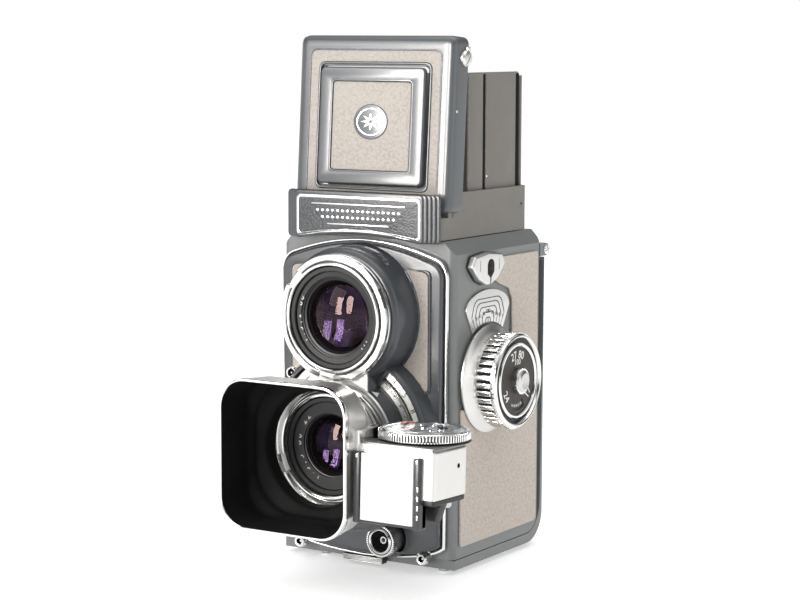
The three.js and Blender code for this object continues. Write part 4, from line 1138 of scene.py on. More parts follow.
def studs_socket_and_release():
    place = seat("front")
    for side, sign in SIDES.items():
        box = local(f"corner_stud_{side}")
        r, face = box.size[0] / 2, -box.low[1]
        stud = Piece(f"stud_{side}", f"corner_stud_{side}", "chrome")
        profile = [
            (1.0, 1.5), (1.0, face - 0.15), (1.25, face), (r - 0.45, face), (r - 0.1, face - 0.3),
            (r, face - 0.8), (r, 1.2), (r - 0.4, 0.3), (1.0, 0.3),
        ]
        body = lathe(profile, segments=48)
        core = lathe(
            [(0, 0.3), (0.42, 0.3), (0.42, face - 1.2), (0.3, face - 1.0), (0, face - 1.0)], segments=24,
        )
        floor = washer(0, 1.05, 1.4, 1.6, segments=24)
        shift = moved(box.mid[0], box.mid[2], 0)
        stud.add("chrome", place @ shift, body, core).add("matt_black", place @ shift, floor).place()
    box = local("flash_socket")
    r, face = box.size[0] / 2, -box.low[1]
    shift = place @ moved(*SOCKET_AT, 0)
    socket = Piece("flash_socket_look", "flash_socket", "chrome")
    tube = lathe(
        [
            (1.3, 1), (1.3, face - 0.1), (1.45, face), (r - 0.25, face), (r, face - 0.3), (r, face - 1.4),
            (r - 0.2, face - 1.6), (r - 0.2, face - 2.2), (r, face - 2.4), (r, 1),
        ],
        segments=48,
    )
    notch = block(-0.35, 0.35, 0.8, r + 1, face - 1, face + 1, edge=0.02)
    socket.add("chrome", shift, carved(tube, notch))
    socket.washer("matt_black", shift, 0, 1.35, 2, face - 1.4, segments=32)
    socket.lathe("chrome", shift, [(0, -1.5), (0.35, -1.5), (0.35, -0.4), (0.2, -0.2), (0, -0.2)], 24, b=face)
    socket.place()

    box = local("release_collar")
    r, face = box.size[0] / 2, -box.low[1]
    shift = place @ moved(*RELEASE_AT, 0)
    collar = Piece("release_collar_look", "release_collar", "chrome")
    bore = washer(0, 4.55, face - 4, face + 1)
    collar.add("chrome", shift, carved(knurl(r, 0.32, 44, face - 2.9, face - 0.5, edge=0.12, land=0.4), bore))
    collar.washer("black_metal", shift, 4.2, 4.6, face - 3, face - 1.4)
    collar.lathe("satin_metal", shift, [(3.55, 1), (4.7, 1), (4.75, face - 2.8), (3.55, face - 2.8)], 64)
    ring = offset(
        [(3.2, -3), (4.2, -3), (4.2, -0.45), (3.95, -0.15), (3.6, 0), (3.35, -0.2), (3.2, -0.6)], b=face,
    )
    collar.lathe("chrome", shift, ring, 96)
    collar.place()
    button_box = local("release_button")
    top = -button_box.low[1]
    button = Piece("release_button_look", "release_button", "steel")
    button.lathe(
        "matt_black", shift,
        [(1.15, 2.4), (3.1, 2.4), (3.1, top - 0.5), (2.9, top - 0.3), (2.3, top - 1.6), (1.15, top - 3)],
        72,
    )
    button.lathe(
        "steel", shift,
        [
            (0.55, 2.4), (1.6, 2.4), (1.3, top - 2.3), (1.1, top - 2.0), (0.8, top - 2.0),
            (0.55, top - 2.4),
        ],
        48,
    )
    button.washer("matt_black", shift, 0, 0.6, 2.4, top - 3.2, segments=24)
    button.place()


# ---------------------------------------------------------------- lenses

def segment(profile, start, sweep):
    return lathe(profile, start, sweep, segments=144)


def lens_rings():
    """Bayonet rings: a turned barrel with three raised flanges and lower lands between them."""
    for lens, z, gaps in (("viewing", VIEWING_Z, (22, 142, 262)), ("taking", TAKING_Z, (82, 202, 322))):
        box = local(f"{lens}_lens_ring")
        outer, face = box.size[2] / 2, -box.low[1]
        bore = 16.2 if lens == "viewing" else 15.6
        place = seat("front", 0, 0, z)
        ring = Piece(f"{lens}_bayonet", f"{lens}_lens_ring", "chrome")
        back = COWL_FACE + 0.3 if lens == "viewing" else 16.7
        barrel = [
            (bore, face - 3.6), (bore, face - 0.3), (bore + 0.25, face), (bore + 0.75, face),
            (bore + 1.0, face - 0.3), (bore + 1.05, face - 2.3), (outer - 1.0, face - 2.4),
            (outer - 0.9, face - 3.1), (outer - 1.3, face - 3.4), (outer - 1.6, back), (bore - 0.4, back),
        ]
        ring.lathe("chrome", place, barrel, 144)
        # Painted shade: the groove under the flanges is black, for the shade that falls in it.
        groove = offset(
            [(bore + 1.0, -2.4), (outer - 0.8, -2.4), (outer - 0.8, -1.7), (bore + 1.0, -1.7)], b=face,
        )
        ring.lathe("black_metal", place, groove, 144)
        flange = offset(
            [
                (bore + 1.6, -1.8), (outer, -1.8), (outer, -0.75), (outer - 0.3, -0.45),
                (bore + 1.9, -0.4), (bore + 1.6, -0.65),
            ],
            b=face,
        )
        for gap in gaps:
            ring.add("chrome", place, segment(flange, gap + 9, 102))
            lug_line = offset(
                [(bore + 1.4, -1.8), (outer - 0.9, -1.8), (outer - 0.9, -1.1), (bore + 1.4, -1.1)], b=face,
            )
            ring.add("satin_metal", place, segment(lug_line, gap - 9.5, 19))
        back_flange = offset([(-1.2, -3.2), (0, -3.2), (0, -2.6), (-0.2, -2.4), (-1.2, -2.4)], a=outer, b=face)
        ring.lathe("chrome", place, back_flange, 144)
        if lens == "viewing":
            ring.washer("black_metal", place, 11.0, 12.1, -5.9, back - 2, segments=72)
        ring.place()


def optics():
    for lens, z, bore, glass in (("viewing", VIEWING_Z, 16.2, 11.1), ("taking", TAKING_Z, 15.6, 9.0)):
        ring = local(f"{lens}_lens_ring")
        node = local(f"{lens}_lens")
        face = -ring.low[1]
        rear = -node.high[1]
        place = seat("front", 0, 0, z)
        optic = Piece(f"{lens}_optics", f"{lens}_lens", "lens_glass")
        label_in = glass + (1.7 if lens == "viewing" else 1.2)
        mount = offset(
            [
                (bore - 0.05, -3.6), (bore - 0.05, -1.3), (bore - 0.35, -1.0), (bore - 1.5, -1.0),
                (bore - 1.75, -1.25), (bore - 1.8, -1.9), (label_in, -2.0), (label_in - 0.1, -2.5),
                (label_in - 0.45, -2.6), (label_in - 0.5, -3.1), (glass + 0.5, -3.3),
                (glass + 0.35, -4.3), (glass + 0.05, -4.6), (glass + 0.02, -5.4), (glass + 0.8, -5.6),
                (bore - 1, -5.6), (bore - 0.05, -5.2),
            ],
            b=face,
        )
        optic.lathe("black_gloss", place, mount, 144)
        barrel = offset(
            [(-0.1, face - 5.3), (0.3, face - 5.3), (0.3, rear), (-1.4, rear), (-1.4, rear + 2)], a=glass,
        )
        steps = 5
        for step in range(steps):
            depth = rear + 2 + (face - 8.5 - rear - 2) * step / steps
            reach = glass - 2.6 + 1.6 * step / steps
            barrel += [(reach, depth), (reach + 0.25, depth + 0.3)]
        barrel += [(glass - 0.9, face - 8.5)]
        optic.lathe("matt_black", place, barrel, 96)
        optic.washer("matt_black", place, 0, glass - 1, rear, rear + 0.5, segments=48)
        sphere = glass * 0.88 / math.sin(math.radians(24))
        slants = [math.radians(angle) for angle in range(24, -1, -1)]
        dip = [(sphere * math.sin(slant), -sphere * math.cos(slant)) for slant in slants]
        lift = face - 6.4 + sphere * math.cos(math.radians(24))
        hollow = [(0, face - 14.5), (dip[0][0], face - 14.5)] + [(r, c + lift) for r, c in dip]
        optic.lathe("inner_glass", place, hollow, 96)
        curve = 33 if lens == "viewing" else 30
        sphere = glass / math.sin(math.radians(curve))
        slants = np.radians(np.linspace(curve, 0, 24))
        cap = [(sphere * math.sin(slant), sphere * math.cos(slant)) for slant in slants]
        lift = face - 4.3 - sphere * math.cos(math.radians(curve))
        optic.lathe(
            "front_glass", place,
            [(0, face - 5.0), (glass, face - 5.0)] + [(r, c + lift) for r, c in cap], 144,
        )
        lettering(optic, place, lens, (bore - 1.8 + label_in) / 2, face - 2.0)
        optic.place()


def lettering(optic, place, lens, radius, height):
    """Generic white figures and marks round the mount: a focal length, stops and index dashes."""
    if lens == "viewing":
        size, words, dashes = 2.6, ((186, "1:3,2 60"),), (318, 324, 330)
    else:
        size, words, dashes = 2.9, ((208, "1:3,5 60"), (140, "22")), (300, 306, 60)
    for middle, word in words:
        pitch = math.degrees(size * 0.78 / radius)
        for number, letter in enumerate(word):
            if letter == " ":
                continue
            angle = middle - pitch * (number - (len(word) - 1) / 2)
            optic.add("white_ink", place, figure_round(letter, size, radius, angle, height + 0.02))
    for angle in dashes:
        optic.add("white_ink", place, tick(radius + 0.5, 0.9, 0.22, angle, height + 0.01, 0.05))


def setting_rings():
    place = seat("front", 0, 0, TAKING_Z)
    stops = ("22", "16", "11", "8", "5", "4")
    for node, values, finish, size in (
        ("aperture_ring", ("3", "4", "5", "6", "7", "8", "9", "10"), "scale_white", 1.6),
        ("speed_ring", stops, "satin_metal", 2.6),
    ):
        box = local(node)
        outer, face = box.size[2] / 2 + 0.05, -box.low[1]
        inner = outer - (2.8 if node == "aperture_ring" else 3.0)
        ring = Piece(f"{node}_look", node, "satin_metal")
        body = [
            (inner, 6.8), (outer, 6.8), (outer, face - 0.5), (outer - 0.2, face - 0.2),
            (inner + 0.5, face), (inner, face - 0.3),
        ]
        ring.lathe(finish, place, body, 168)
        if node == "aperture_ring":
            edge = offset([(-0.5, -0.4), (0.1, -0.4), (0.1, 0.1), (-0.5, 0.14)], a=outer, b=face)
            ring.lathe("chrome", place, edge, 168)
        middle = (inner + outer) / 2 + (0.35 if node == "aperture_ring" else -0.05)
        for centre in (20, 200):
            for number, value in enumerate(values):
                angle = centre + (number - len(values) / 2 + 0.5) * 74 / len(values)
                shade = "green_ink" if node == "aperture_ring" and number % 3 == 1 else "black_ink"
                ring.add(shade, place, figure_round(value, size, middle, angle, face - 0.04))
                ring.add("black_ink", place, tick(outer - 0.6, 0.5, 0.16, angle + 4.4, face - 0.12, 0.1))
        ring.place()


def shutter_case():
    """The satin case of the shutter, which fills the space between the two lens rings."""
    box = local("shutter_housing")
    outer, face = box.size[2] / 2, -box.low[1]
    place = seat("front", 0, 0, TAKING_Z)
    case = Piece("shutter_case", "shutter_housing", "satin_metal")
    profile = [
        (13.3, -5.9), (14.3, -5.9), (14.3, 1.1), (outer, 1.1), (outer, face - 0.5), (outer - 0.4, face - 0.05),
        (15.5, face), (15.5, 8), (13.3, 8),
    ]
    case.lathe("satin_metal", place, profile, 144)
    sleeve = offset([(-0.1, face - 0.5), (0.05, face - 0.45), (0.5, 11.3), (0.5, 9.5), (-0.1, 9.5)], a=outer)
    case.lathe("front_paint", place, sleeve, 144)
    for finish, half, low, high in (
        ("front_paint", 11.3, STEP - 0.3, COWL_FACE - 0.1),
        ("satin_metal", 11.0, COWL_FACE - 0.4, COWL_FACE + 0.3),
    ):
        outline = [(half, 15.5), (half - 0.4, 25), (0.4 - half, 25), (-half, 15.5)]
        cheek = slab(outline, low, high, edge=0.2, steps=3)
        case.add(finish, place, carved(cheek, washer(0, outer - 0.2, 5, 20, segments=144)))
    pointer = slab([(1.2, 1.3), (1.2, -1.3), (-1.3, 0)], 0, 0.1, edge=0.02, steps=0)
    onto = rotated(53) @ moved(outer + 0.3, 0, 13.5) @ rotated(87, "Y")
    case.add("white_ink", place @ onto @ Matrix.Rotation(math.pi, 4, "Z"), pointer)
    for r in (19.3, 17.9):
        line = offset([(0, -0.04), (0.12, -0.04), (0.12, 0.01), (0, 0.01)], a=r, b=face)
        case.add("black_ink", place, segment(line, 30, 50))
    case.place()


# ---------------------------------------------------------------- lens hood and exposure meter

def soft_square(half, radius, height, per_corner=14):
    """A rounded square as points at one height."""
    points = []
    for corner in range(4):
        middle = math.radians(90 * corner + 45)
        for step in range(per_corner):
            angle = math.radians(90 * (corner + step / (per_corner - 1)))
            a = (half - radius) * math.copysign(1, math.cos(middle)) + radius * math.cos(angle)
            b = (half - radius) * math.copysign(1, math.sin(middle)) + radius * math.sin(angle)
            points.append((a, b, height))
    return points


def eased(sections, steps=6):
    """Fills in sections of (height, half, radius) along smooth curves between the given ones."""
    filled = []
    for (h0, s0, r0), (h1, s1, r1) in zip(sections, sections[1:]):
        for step in range(steps):
            part = step / steps
            ease = part * part * (3 - 2 * part)
            filled.append((h0 + (h1 - h0) * part, s0 + (s1 - s0) * ease, r0 + (r1 - r0) * ease))
    return filled + [sections[-1]]


def open_skin(sections, flip=False):
    solid = bmesh.new()
    rings = []
    for height, half, radius in sections:
        rings.append([solid.verts.new(point) for point in soft_square(half, radius, height)])
    for ring, following in zip(rings, rings[1:]):
        for k in range(len(ring)):
            face = (ring[k - 1], following[k - 1], following[k], ring[k])
            solid.faces.new(face[::-1] if flip else face)
    bmesh.ops.remove_doubles(solid, verts=solid.verts, dist=1e-4)
    return solid


def lens_hood():
    box = local("lens_hood")
    half, face, back = box.size[0] / 2, -box.low[1], -box.high[1]
    ring = local("taking_lens_ring").size[2] / 2
    place = seat("front", 0, 0, TAKING_Z)
    hood = Piece("square_lens_hood", "lens_hood", "satin_metal")
    outer = eased([
        (back + 0.3, half - 2.35, half - 2.35), (back + 3.4, half - 2.2, half - 2.2),
        (back + 4.4, half - 2.6, half - 2.6), (back + 5.2, half - 2.6, half - 2.6),
        (back + 8.0, half - 1.2, 15.0), (back + 12.5, half - 0.55, 10.6), (face - 2.2, half - 0.12, 9.6),
    ])
    hood.add("satin_metal", place, open_skin(outer, flip=True))
    rim = [
        (face - 2.2, half - 0.12, 9.6), (face - 1.9, half, 9.5), (face - 0.35, half, 9.5),
        (face - 0.1, half - 0.1, 9.4), (face, half - 0.35, 9.2), (face - 0.05, half - 0.7, 8.9),
        (face - 0.35, half - 0.9, 8.7),
    ]
    hood.add("chrome", place, open_skin(rim, flip=True))
    inner = eased([
        (face - 0.35, half - 0.9, 8.7), (back + 12, half - 1.6, 10.2), (back + 8.0, half - 2.6, 14.8),
        (back + 5.4, 18.4, 18.4), (back + 4.6, 18.1, 18.1), (back + 1.4, 18.0, 18.0),
    ])
    hood.add("hood_black", place, open_skin(inner, flip=True))
    collar = offset(
        [
            (18.0, 1.4), (18.3, 0.9), (ring + 0.25, 0.9), (ring + 0.25, 0), (half - 2.6, 0),
            (half - 2.35, 0.3),
        ],
        b=back,
    )
    hood.lathe("chrome", place, collar + [(half - 2.6, back + 0.9), (half - 2.8, back + 1.6)], 144)
    groove = offset([(-2.5, 1.9), (-2.12, 1.9), (-2.12, 2.15), (-2.5, 2.15)], a=half, b=back)
    hood.lathe("black_metal", place, groove, 144)
    red = put(
        lathe([(0, 0), (0.5, 0), (0.42, 0.15), (0, 0.2)], segments=24),
        rotated(52) @ moved(half - 2.2, 0, back + 1.2) @ rotated(90, "Y"),
    )
    hood.add("red_ink", place, red)
    for inside, end in ((0.95, face - 6), (1.5, back + 11)):
        bracket = rectangle(half - inside, half + 1.1, -13, 10.5, 0.5)
        hood.slab("satin_metal", place, bracket, back + 7.2, end, edge=0.4)
    hood.place(crease=40)


METER = local("meter_housing")
METER_TOP = local("meter_dial").low[2] + 0.49
DIAL = local("meter_dial")
METER_LEAN = -2.0
METER_BASE = (
    leaning(DIAL.mid[0], DIAL.mid[1], METER_TOP, METER_LEAN) @ moved(-DIAL.mid[0], -DIAL.mid[1], -METER_TOP)
)


def exposure_meter():
    left, right = METER.low[0], METER.high[0]
    front, high, low = -41.0, 46.6, 29.4
    meter = Piece("meter_case", "meter_housing", "satin_metal", METER_BASE)
    top = seat("top")
    plan = rectangle(left, right, front, -22, 1.4)
    meter.slab("satin_metal", top, plan, low + 1.6, high - 1.0, edge=0.45, steps=3)
    cap = rectangle(left + 0.25, right - 0.25, front + 0.25, -22.3, 1.3)
    meter.slab("meter_top", top, cap, high - 1.1, high, edge=0.35, steps=3)
    sole = rectangle(left + 0.5, right - 0.3, front + 0.4, -22.2, 1.2)
    meter.slab("black_metal", top, sole, low, low + 1.8, edge=0.4, steps=3)
    meter.block("satin_metal", top, left + 1, right - 8.5, -23, METER.high[1], low + 2, high - 1.5, edge=0.5)
    face = seat("front")
    rim = rectangle(left + 0.2, right - 0.2, low + 1.7, high - 0.5, 1.0)
    opening = rectangle(25.6, 46.4, 20, 44.4, 0.5)
    frame_plate = carved(
        slab(rim, -front - 0.5, -front + 0.55, edge=0.3, steps=3),
        slab(opening, -front - 2, -front + 3, edge=0.01),
    )
    meter.add("satin_metal", face, frame_plate)
    meter.block("meter_dark", face, 24.3, 46.7, 22.2, 30.6, 38.6, 41.3, edge=0.4)
    slide = local("meter_diffuser")
    for a0, a1 in ((23.7, slide.low[0] - 0.3), (slide.high[0] + 0.3, 46.7)):
        meter.block("meter_dark", face, a0, a1, 22.4, 43.8, 38.6, 43.35, edge=0.45, steps=3)
        middle = (a0 + a1) / 2
        meter.block("chrome", face, middle - 0.35, middle + 0.35, 42.0, 43.2, 43.0, 43.48, edge=0.15)
    for b in (25.4, 28.2, 31.0, 33.8):
        meter.block("chrome", face, 46.0, 46.5, b, b + 1.5, 43.0, 43.44, edge=0.12)
    side = seat("right", right)
    plate = carved(
        slab(rectangle(front + 1.2, -23.2, low + 2.4, high - 1.4, 0.8), -0.3, 0.1, edge=0.08),
        slab(circle(0.75, -27.3, 40.2, 32), -2, 2, edge=0.01),
    )
    meter.add("satin_metal", side, plate)
    # Painted shade: a black disc behind the hole and a black plug in it make the hole read dark.
    meter.slab("matt_black", side, circle(0.8, -27.3, 40.2, 32), -0.35, -0.15, edge=0.02)
    meter.washer("matt_black", side @ moved(-27.3, 40.2, 0), 0, 0.75, -0.2, 0.12, segments=28)
    bracket = offset([(-1.2, 0.6), (-3.4, -5.6), (-7.4, -5.6), (-9.5, 0.6)], a=right, b=low)
    meter.slab("black_metal", face, bracket, 30.5, 34.5, edge=0.4)
    foot = [(0, 0), (1.5, 0), (1.6, 0.4), (1.6, 1.4), (1.2, 2.0), (0, 2.0)]
    meter.lathe("steel", seat("bottom", right - 3.2, -28.5, low + 0.1), foot, 48)
    collar = [(12.9, 0), (14.2, 0), (14.2, 0.12), (12.9, 0.2)]
    meter.lathe("black_metal", seat("top", DIAL.mid[0], DIAL.mid[1], high - 0.02), collar, 120)
    meter.washer("black_metal", seat("top", DIAL.mid[0], DIAL.mid[1], high), 0, 6, -0.5, 0.6, 64)
    meter.place()

    white = Piece("opal_slide", "meter_diffuser", "white_plastic", METER_BASE)
    a0, a1 = slide.low[0], slide.high[0]
    white.block("white_plastic", face, a0, a1, 23.4, 43.6, 41.6, 43.2, edge=0.3, steps=3)
    white.block("satin_metal", face, a0 + 0.5, a1 - 0.5, 43.35, 43.6, 41.7, 43.15, edge=0.1)
    white.place()


def meter_dial():
    """A knurled disc under a clear crown, with generic scales seen through it."""
    base = METER_TOP
    crown = 50.6
    place = seat("top", DIAL.mid[0], DIAL.mid[1])
    dial = Piece("exposure_dial", "meter_dial", "chrome", METER_BASE)
    dial.washer("black_metal", place, 0, 13.62, base + 0.35, crown - 1.25, segments=96)
    dial.lathe("chrome", place, [(11, 0.1), (13.7, 0.1), (13.9, 0.3), (13.7, 0.5), (11, 0.5)], 144, b=base)
    for number in range(90):
        rib = block(13.2, 13.97, -0.27, 0.27, base + 0.3, crown - 0.95, edge=0.12)
        dial.add("chrome", place, put(rib, rotated(4 * number)))
    lip = offset(
        [(12.1, -1.2), (13.5, -1.2), (13.6, -1.0), (13.35, -0.72), (12.7, -0.62), (12.1, -0.8)], b=crown,
    )
    dial.lathe("chrome", place, lip, 144)
    dial.lathe("scale_white", place, [(8.4, -1.2), (12.2, -1.2), (12.2, -0.92), (8.4, -0.84)], 144, b=crown)
    exposures = ("1", "2", "4", "8", "15", "30", "60", "125", "250", "500")
    for number in range(32):
        angle = 11.25 * number
        dial.add("black_ink", place, tick(12.0, 0.9 if number % 2 else 0.5, 0.12, angle, crown - 0.9, 0.03))
        if number % 2 == 0:
            value = exposures[number // 2 % len(exposures)]
            dial.add("black_ink", place, figure_round(value, 1.25, 10.1, angle, crown - 0.87, depth=0.04))
    dial.lathe(
        "satin_metal", place, [(0, -1.2), (8.2, -1.2), (8.2, -0.75), (7.7, -0.6), (0, -0.6)], 120, b=crown,
    )
    window = arc(7.0, 200, 250) + arc(4.6, 250, 200)
    for outline in (window, [(-a, -b) for a, b in window]):
        dial.slab("matt_black", place, outline, crown - 0.62, crown - 0.57, edge=0.02)
    for angle in (95, 130, 320, 350):
        stud = lathe([(0, 0), (0.85, 0), (0.8, 0.28), (0.5, 0.4), (0, 0.42)], segments=28)
        dial.add("chrome", place, put(stud, rotated(angle) @ moved(6.3, 0, crown - 0.62)))
    dial.lathe("chrome", place, [(0, -0.7), (1.9, -0.7), (1.8, -0.25), (1.4, -0.12), (0, -0.1)], 48, b=crown)
    tab = rounded([(-2.6, 10.6), (2.6, 10.6), (1.6, 13.2), (-1.6, 13.2)], 0.4)
    dial.add("red_ink", place, put(slab(tab, crown - 0.7, crown - 0.35, edge=0.1), rotated(58)))
    dome = offset(
        [
            (12.9, -0.6), (12.9, -0.35), (12.3, -0.1), (11.0, 0), (0, 0), (0, -0.05), (10.9, -0.05),
            (12.1, -0.16), (12.6, -0.4), (12.6, -0.6),
        ],
        b=crown,
    )
    dial.lathe("clear", place, dome, 120)
    dial.place()


# ---------------------------------------------------------------- nameplate and hood base

def arched(half, low, high, rise, radius=1.0):
    """An outline with a straight top and an arched lower edge."""
    foot = bend((-half, low), (0, low + 2 * rise), (half, low), 24)
    outline = [(half, low), (half, high), (-half, high)] + foot
    radii = [radius, radius, radius, radius] + [0] * (len(outline) - 4)
    return rounded(outline, radii)


def nameplate():
    """Fluted ends step up to a framed field, with two bars and two rows of studs in place of a name."""
    box = local("nameplate")
    face = -box.low[1]
    low, high = box.low[2], 118.2
    place = seat("front")
    plate = Piece("front_nameplate", "nameplate", "front_paint")
    steps = ((28.6, 2.7), (27.45, 3.45), (26.3, 4.15), (25.15, 4.85), (24.0, face))
    for half, front in steps:
        plate.slab("front_paint", place, arched(half, low, high, 2.2, 1.6), 1.9, front, edge=0.42, steps=3)
    border = arched(23.2, low + 0.9, 116.9, 2.0, 1.7)
    field = arched(22.3, low + 1.85, 116.0, 1.9, 1.1)
    plate.slab("chrome", place, border, face - 0.5, face + 0.18, [field], edge=0.16, steps=2)
    plate.slab("pebbled_slate", place, field, face - 0.6, face + 0.03, edge=0.05)
    for number in range(4):
        half, middle = 17.5 - 2 * number, 114.2 - 2.1 * number
        if number in (0, 3):
            bar = put(block(-half, half, -0.22, 0.22, 0, 0.3, edge=0.1), moved(0, middle, face - 0.2))
            plate.add("steel", place, bar)
        else:
            plate.add("steel", place, *stud_row(half, middle, face - 0.1))
    plate.place()


def stud_row(half, middle, height):
    """A row of small raised lozenges."""
    pitch = 1.9
    count = int(half / pitch)
    row = []
    for number in range(-count, count + 1):
        stud = slab([(-0.7, 0), (0, -0.5), (0.7, 0), (0, 0.5)], -0.15, 0.16, edge=0.06, steps=1)
        row.append(put(stud, moved(number * pitch, middle, height)))
    return row


def hood_base():
    base = Piece("hood_base_look", "hood_base", "hood_paint")
    base.add("hood_paint", Matrix.Identity(4), node_solid("hood_base"))
    wall = 28.0
    for side, sign in SIDES.items():
        # Painted shade: small black discs on the walls stand for holes, whose insides are in shade.
        hole = slab(circle(0.45, sign * 49.5, 112.5, 24), -0.2, 0.03, edge=0.01)
        base.add("matt_black", seat(side, sign * wall), hole)
    base.place()


# ---------------------------------------------------------------- folding hood

LID_LEAN = -4.0
LID_BASE = leaning(0, 5.25, 117.65, LID_LEAN)
LID_HALF = local("hood_lid").high[0]
LID_FACE = 3.35


def lid_frame():
    """A deep rounded frame with a leatherette border sunk into its face, round the finder's flap."""
    place = seat("front")
    low, high, rim = -6.0, 49.4, 4.5
    lid = Piece("hood_lid_look", ("hood_lid", "lid_stud"), "lid_paint", LID_BASE)
    flap_half, flap_low, flap_high = 19.8, 1.9, 39.6

    def round_flap(grow, radius):
        return rectangle(-flap_half - grow, flap_half + grow, flap_low - grow, flap_high + grow, radius)

    border = rectangle(-24.6, 24.6, low + 1, 44.9, 2.4)
    opening = round_flap(0, 1.8)
    sections = []
    for inset, drop in ((0, LID_FACE + rim), (0, 2.6), (0.3, 1.3), (1.0, 0.5), (2.0, 0.08), (3.2, 0)):
        sides, foot, corner = LID_HALF - inset, low + min(inset, 0.6), max(3.0 - inset * 0.5, 0.8)
        outline = rectangle(-sides, sides, foot, high - inset, corner)
        sections.append([(a, b, LID_FACE - drop) for a, b in outline])
    front = skin(sections)
    room = rectangle(-LID_HALF + 1.05, LID_HALF - 1.05, low - 6, high - 1.05, 1.8)
    hollow = slab(room, -rim - 3, LID_FACE - 1.2, edge=0.2)
    heel = block(-LID_HALF - 2, LID_HALF + 2, low - 2, low + 4, -rim - 2, 4 - rim, edge=0.01)
    axle = washer(0, 4, -LID_HALF - 3, LID_HALF + 3, segments=72)
    relief = carved(heel, put(axle, moved(0, low + 4, 4 - rim) @ rotated(90, "Y")))
    seat_cut = slab(border, LID_FACE - 0.45, LID_FACE + 2, edge=0.02)
    window = slab(opening, LID_FACE - 3, LID_FACE + 3, edge=0.02)
    lid.add("lid_paint", place, carved(front, hollow, relief, seat_cut, window))
    panel = rectangle(-24.3, 24.3, low + 1.3, 44.6, 2.2)
    inner_edge = [round_flap(1.4, 2.6)]
    lid.slab("leatherette", place, panel, LID_FACE - 0.5, LID_FACE + 0.02, inner_edge, edge=0.16)
    outer_line = rectangle(-24.75, 24.75, low + 0.9, 45.05, 2.5)
    inner_line = [rectangle(-24.3, 24.3, low + 1.35, 44.6, 2.2)]
    lid.slab("lid_paint", place, outer_line, LID_FACE - 0.4, LID_FACE + 0.2, inner_line, edge=0.15)
    bead = slab(round_flap(1.35, 2.6), LID_FACE - 0.5, LID_FACE + 0.3, [round_flap(0.6, 2.1)], 0.28, 3)
    lid.add("lid_paint", place, bead)
    # Painted shade: a black ledge behind the gap round the flap makes the gap read as shadow.
    lip = slab(round_flap(0.7, 2.1), LID_FACE - 1.15, LID_FACE - 0.45, [opening], edge=0.04)
    lid.add("matt_black", place, lip)
    knob = local("lid_stud")
    stud_at = seat("right", LID_HALF, 2.2, 0) @ moved(0, 42.6, 0)
    proud = knob.high[0] - LID_HALF
    head = lathe(
        [(0, 0.1), (2.6, 0.1), (2.6, proud * 0.45), (2.2, proud * 0.8), (1.2, proud), (0, proud)],
        segments=56,
    )
    slot_cut = put(block(-3, 3, -0.2, 0.2, proud - 0.45, proud + 1, edge=0.02), rotated(60))
    lid.add("satin_metal", stud_at, carved(head, slot_cut))
    lid.block("satin_metal", seat("right", LID_HALF, 3.4, 45.6), -0.8, 0.9, -0.7, 0.7, -0.6, 0.9, edge=0.25)
    lid.lathe(
        "steel", seat("right", LID_HALF, -1.0, 26.0), [(0, -0.2), (0.45, -0.2), (0.4, 0.1), (0, 0.14)], 20,
    )
    lid.place()


def finder_flap():
    place = seat("front")
    half, low, high = 19.5, 2.2, 39.3
    face = LID_FACE + 1.6
    flap = Piece("finder_flap_look", "finder_flap", "lid_paint", LID_BASE)
    field = rectangle(-half + 4.8, half - 4.8, low + 4.5, high - 4.5, 1.2)
    border = rectangle(-half, half, low, high, 2.0)
    flap.slab("lid_paint", place, border, LID_FACE - 0.4, face, [field], edge=0.62, steps=4)
    inner = rectangle(-half + 3.9, half - 3.9, low + 3.6, high - 3.6, 1.6)
    flap.slab("lid_paint", place, inner, face - 0.5, face, [field], edge=0.2, steps=3)
    panel = rectangle(-half + 4.9, half - 4.9, low + 4.6, high - 4.6, 1.1)
    flap.slab("leatherette", place, panel, LID_FACE + 0.4, face - 0.28, edge=0.3, steps=3)
    flap.slab("matt_black", place, panel, LID_FACE - 0.35, LID_FACE + 0.6, edge=0.1)
    badge_at = place @ moved(0, (low + high) / 2 + 1.3, 0)
    shape = ellipse(6.4, 5.6)
    flap.slab("lid_paint", badge_at, shape, face - 0.9, face - 0.02, edge=0.35, steps=3)
    flap.slab("chrome", badge_at, ellipse(5.2, 4.4), face - 0.3, face + 0.1, [ellipse(4.75, 3.95)], edge=0.1)
    for number in range(8):
        leaf = slab([(0.4, 0), (1.6, 0.45), (3.2, 0), (1.6, -0.45)], -0.2, 0.1, edge=0.05, steps=1)
        spread = moved(0, 0, face) @ Matrix.Diagonal((1.15, 0.85, 1, 1)) @ rotated(45 * number)
        flap.add("chrome", badge_at, put(leaf, spread))
    flap.place()


def ellipse(a, b, steps=72):
    angles = [2 * math.pi * k / steps for k in range(steps)]
    return [(a * math.cos(angle), b * math.sin(angle)) for angle in angles]


def loupe():
    place = seat("front")
    middle, radius = 22.0, 12.5
    glass = Piece("loupe_look", "magnifier", "black_metal", LID_BASE)
    centre = moved(0, middle, 0)
    ring = [
        (10.4, -1.6), (radius - 0.4, -1.6), (radius, -1.2), (radius, 0.4), (radius - 0.4, 0.8),
        (10.4, 0.8), (10.2, 0),
    ]
    glass.lathe("black_metal", place @ centre, ring, 96)
    sphere = 10.5 / math.sin(math.radians(14))
    cap = []
    for slant in np.radians(np.linspace(14, 0, 12)):
        cap.append((sphere * math.sin(slant), sphere * (math.cos(slant) - math.cos(math.radians(14)))))
    glass.lathe("clear", place @ centre, [(0, -0.7), (10.5, -0.7)] + [(r, c - 0.6) for r, c in cap], 96)
    glass.block("black_metal", place, -3, 3, middle + radius - 0.8, 37.6, -0.4, 0.85, edge=0.25)
    glass.block("steel", place, -2.2, 2.2, 35.8, 37.3, 0.5, 0.95, edge=0.15)
    glass.place()


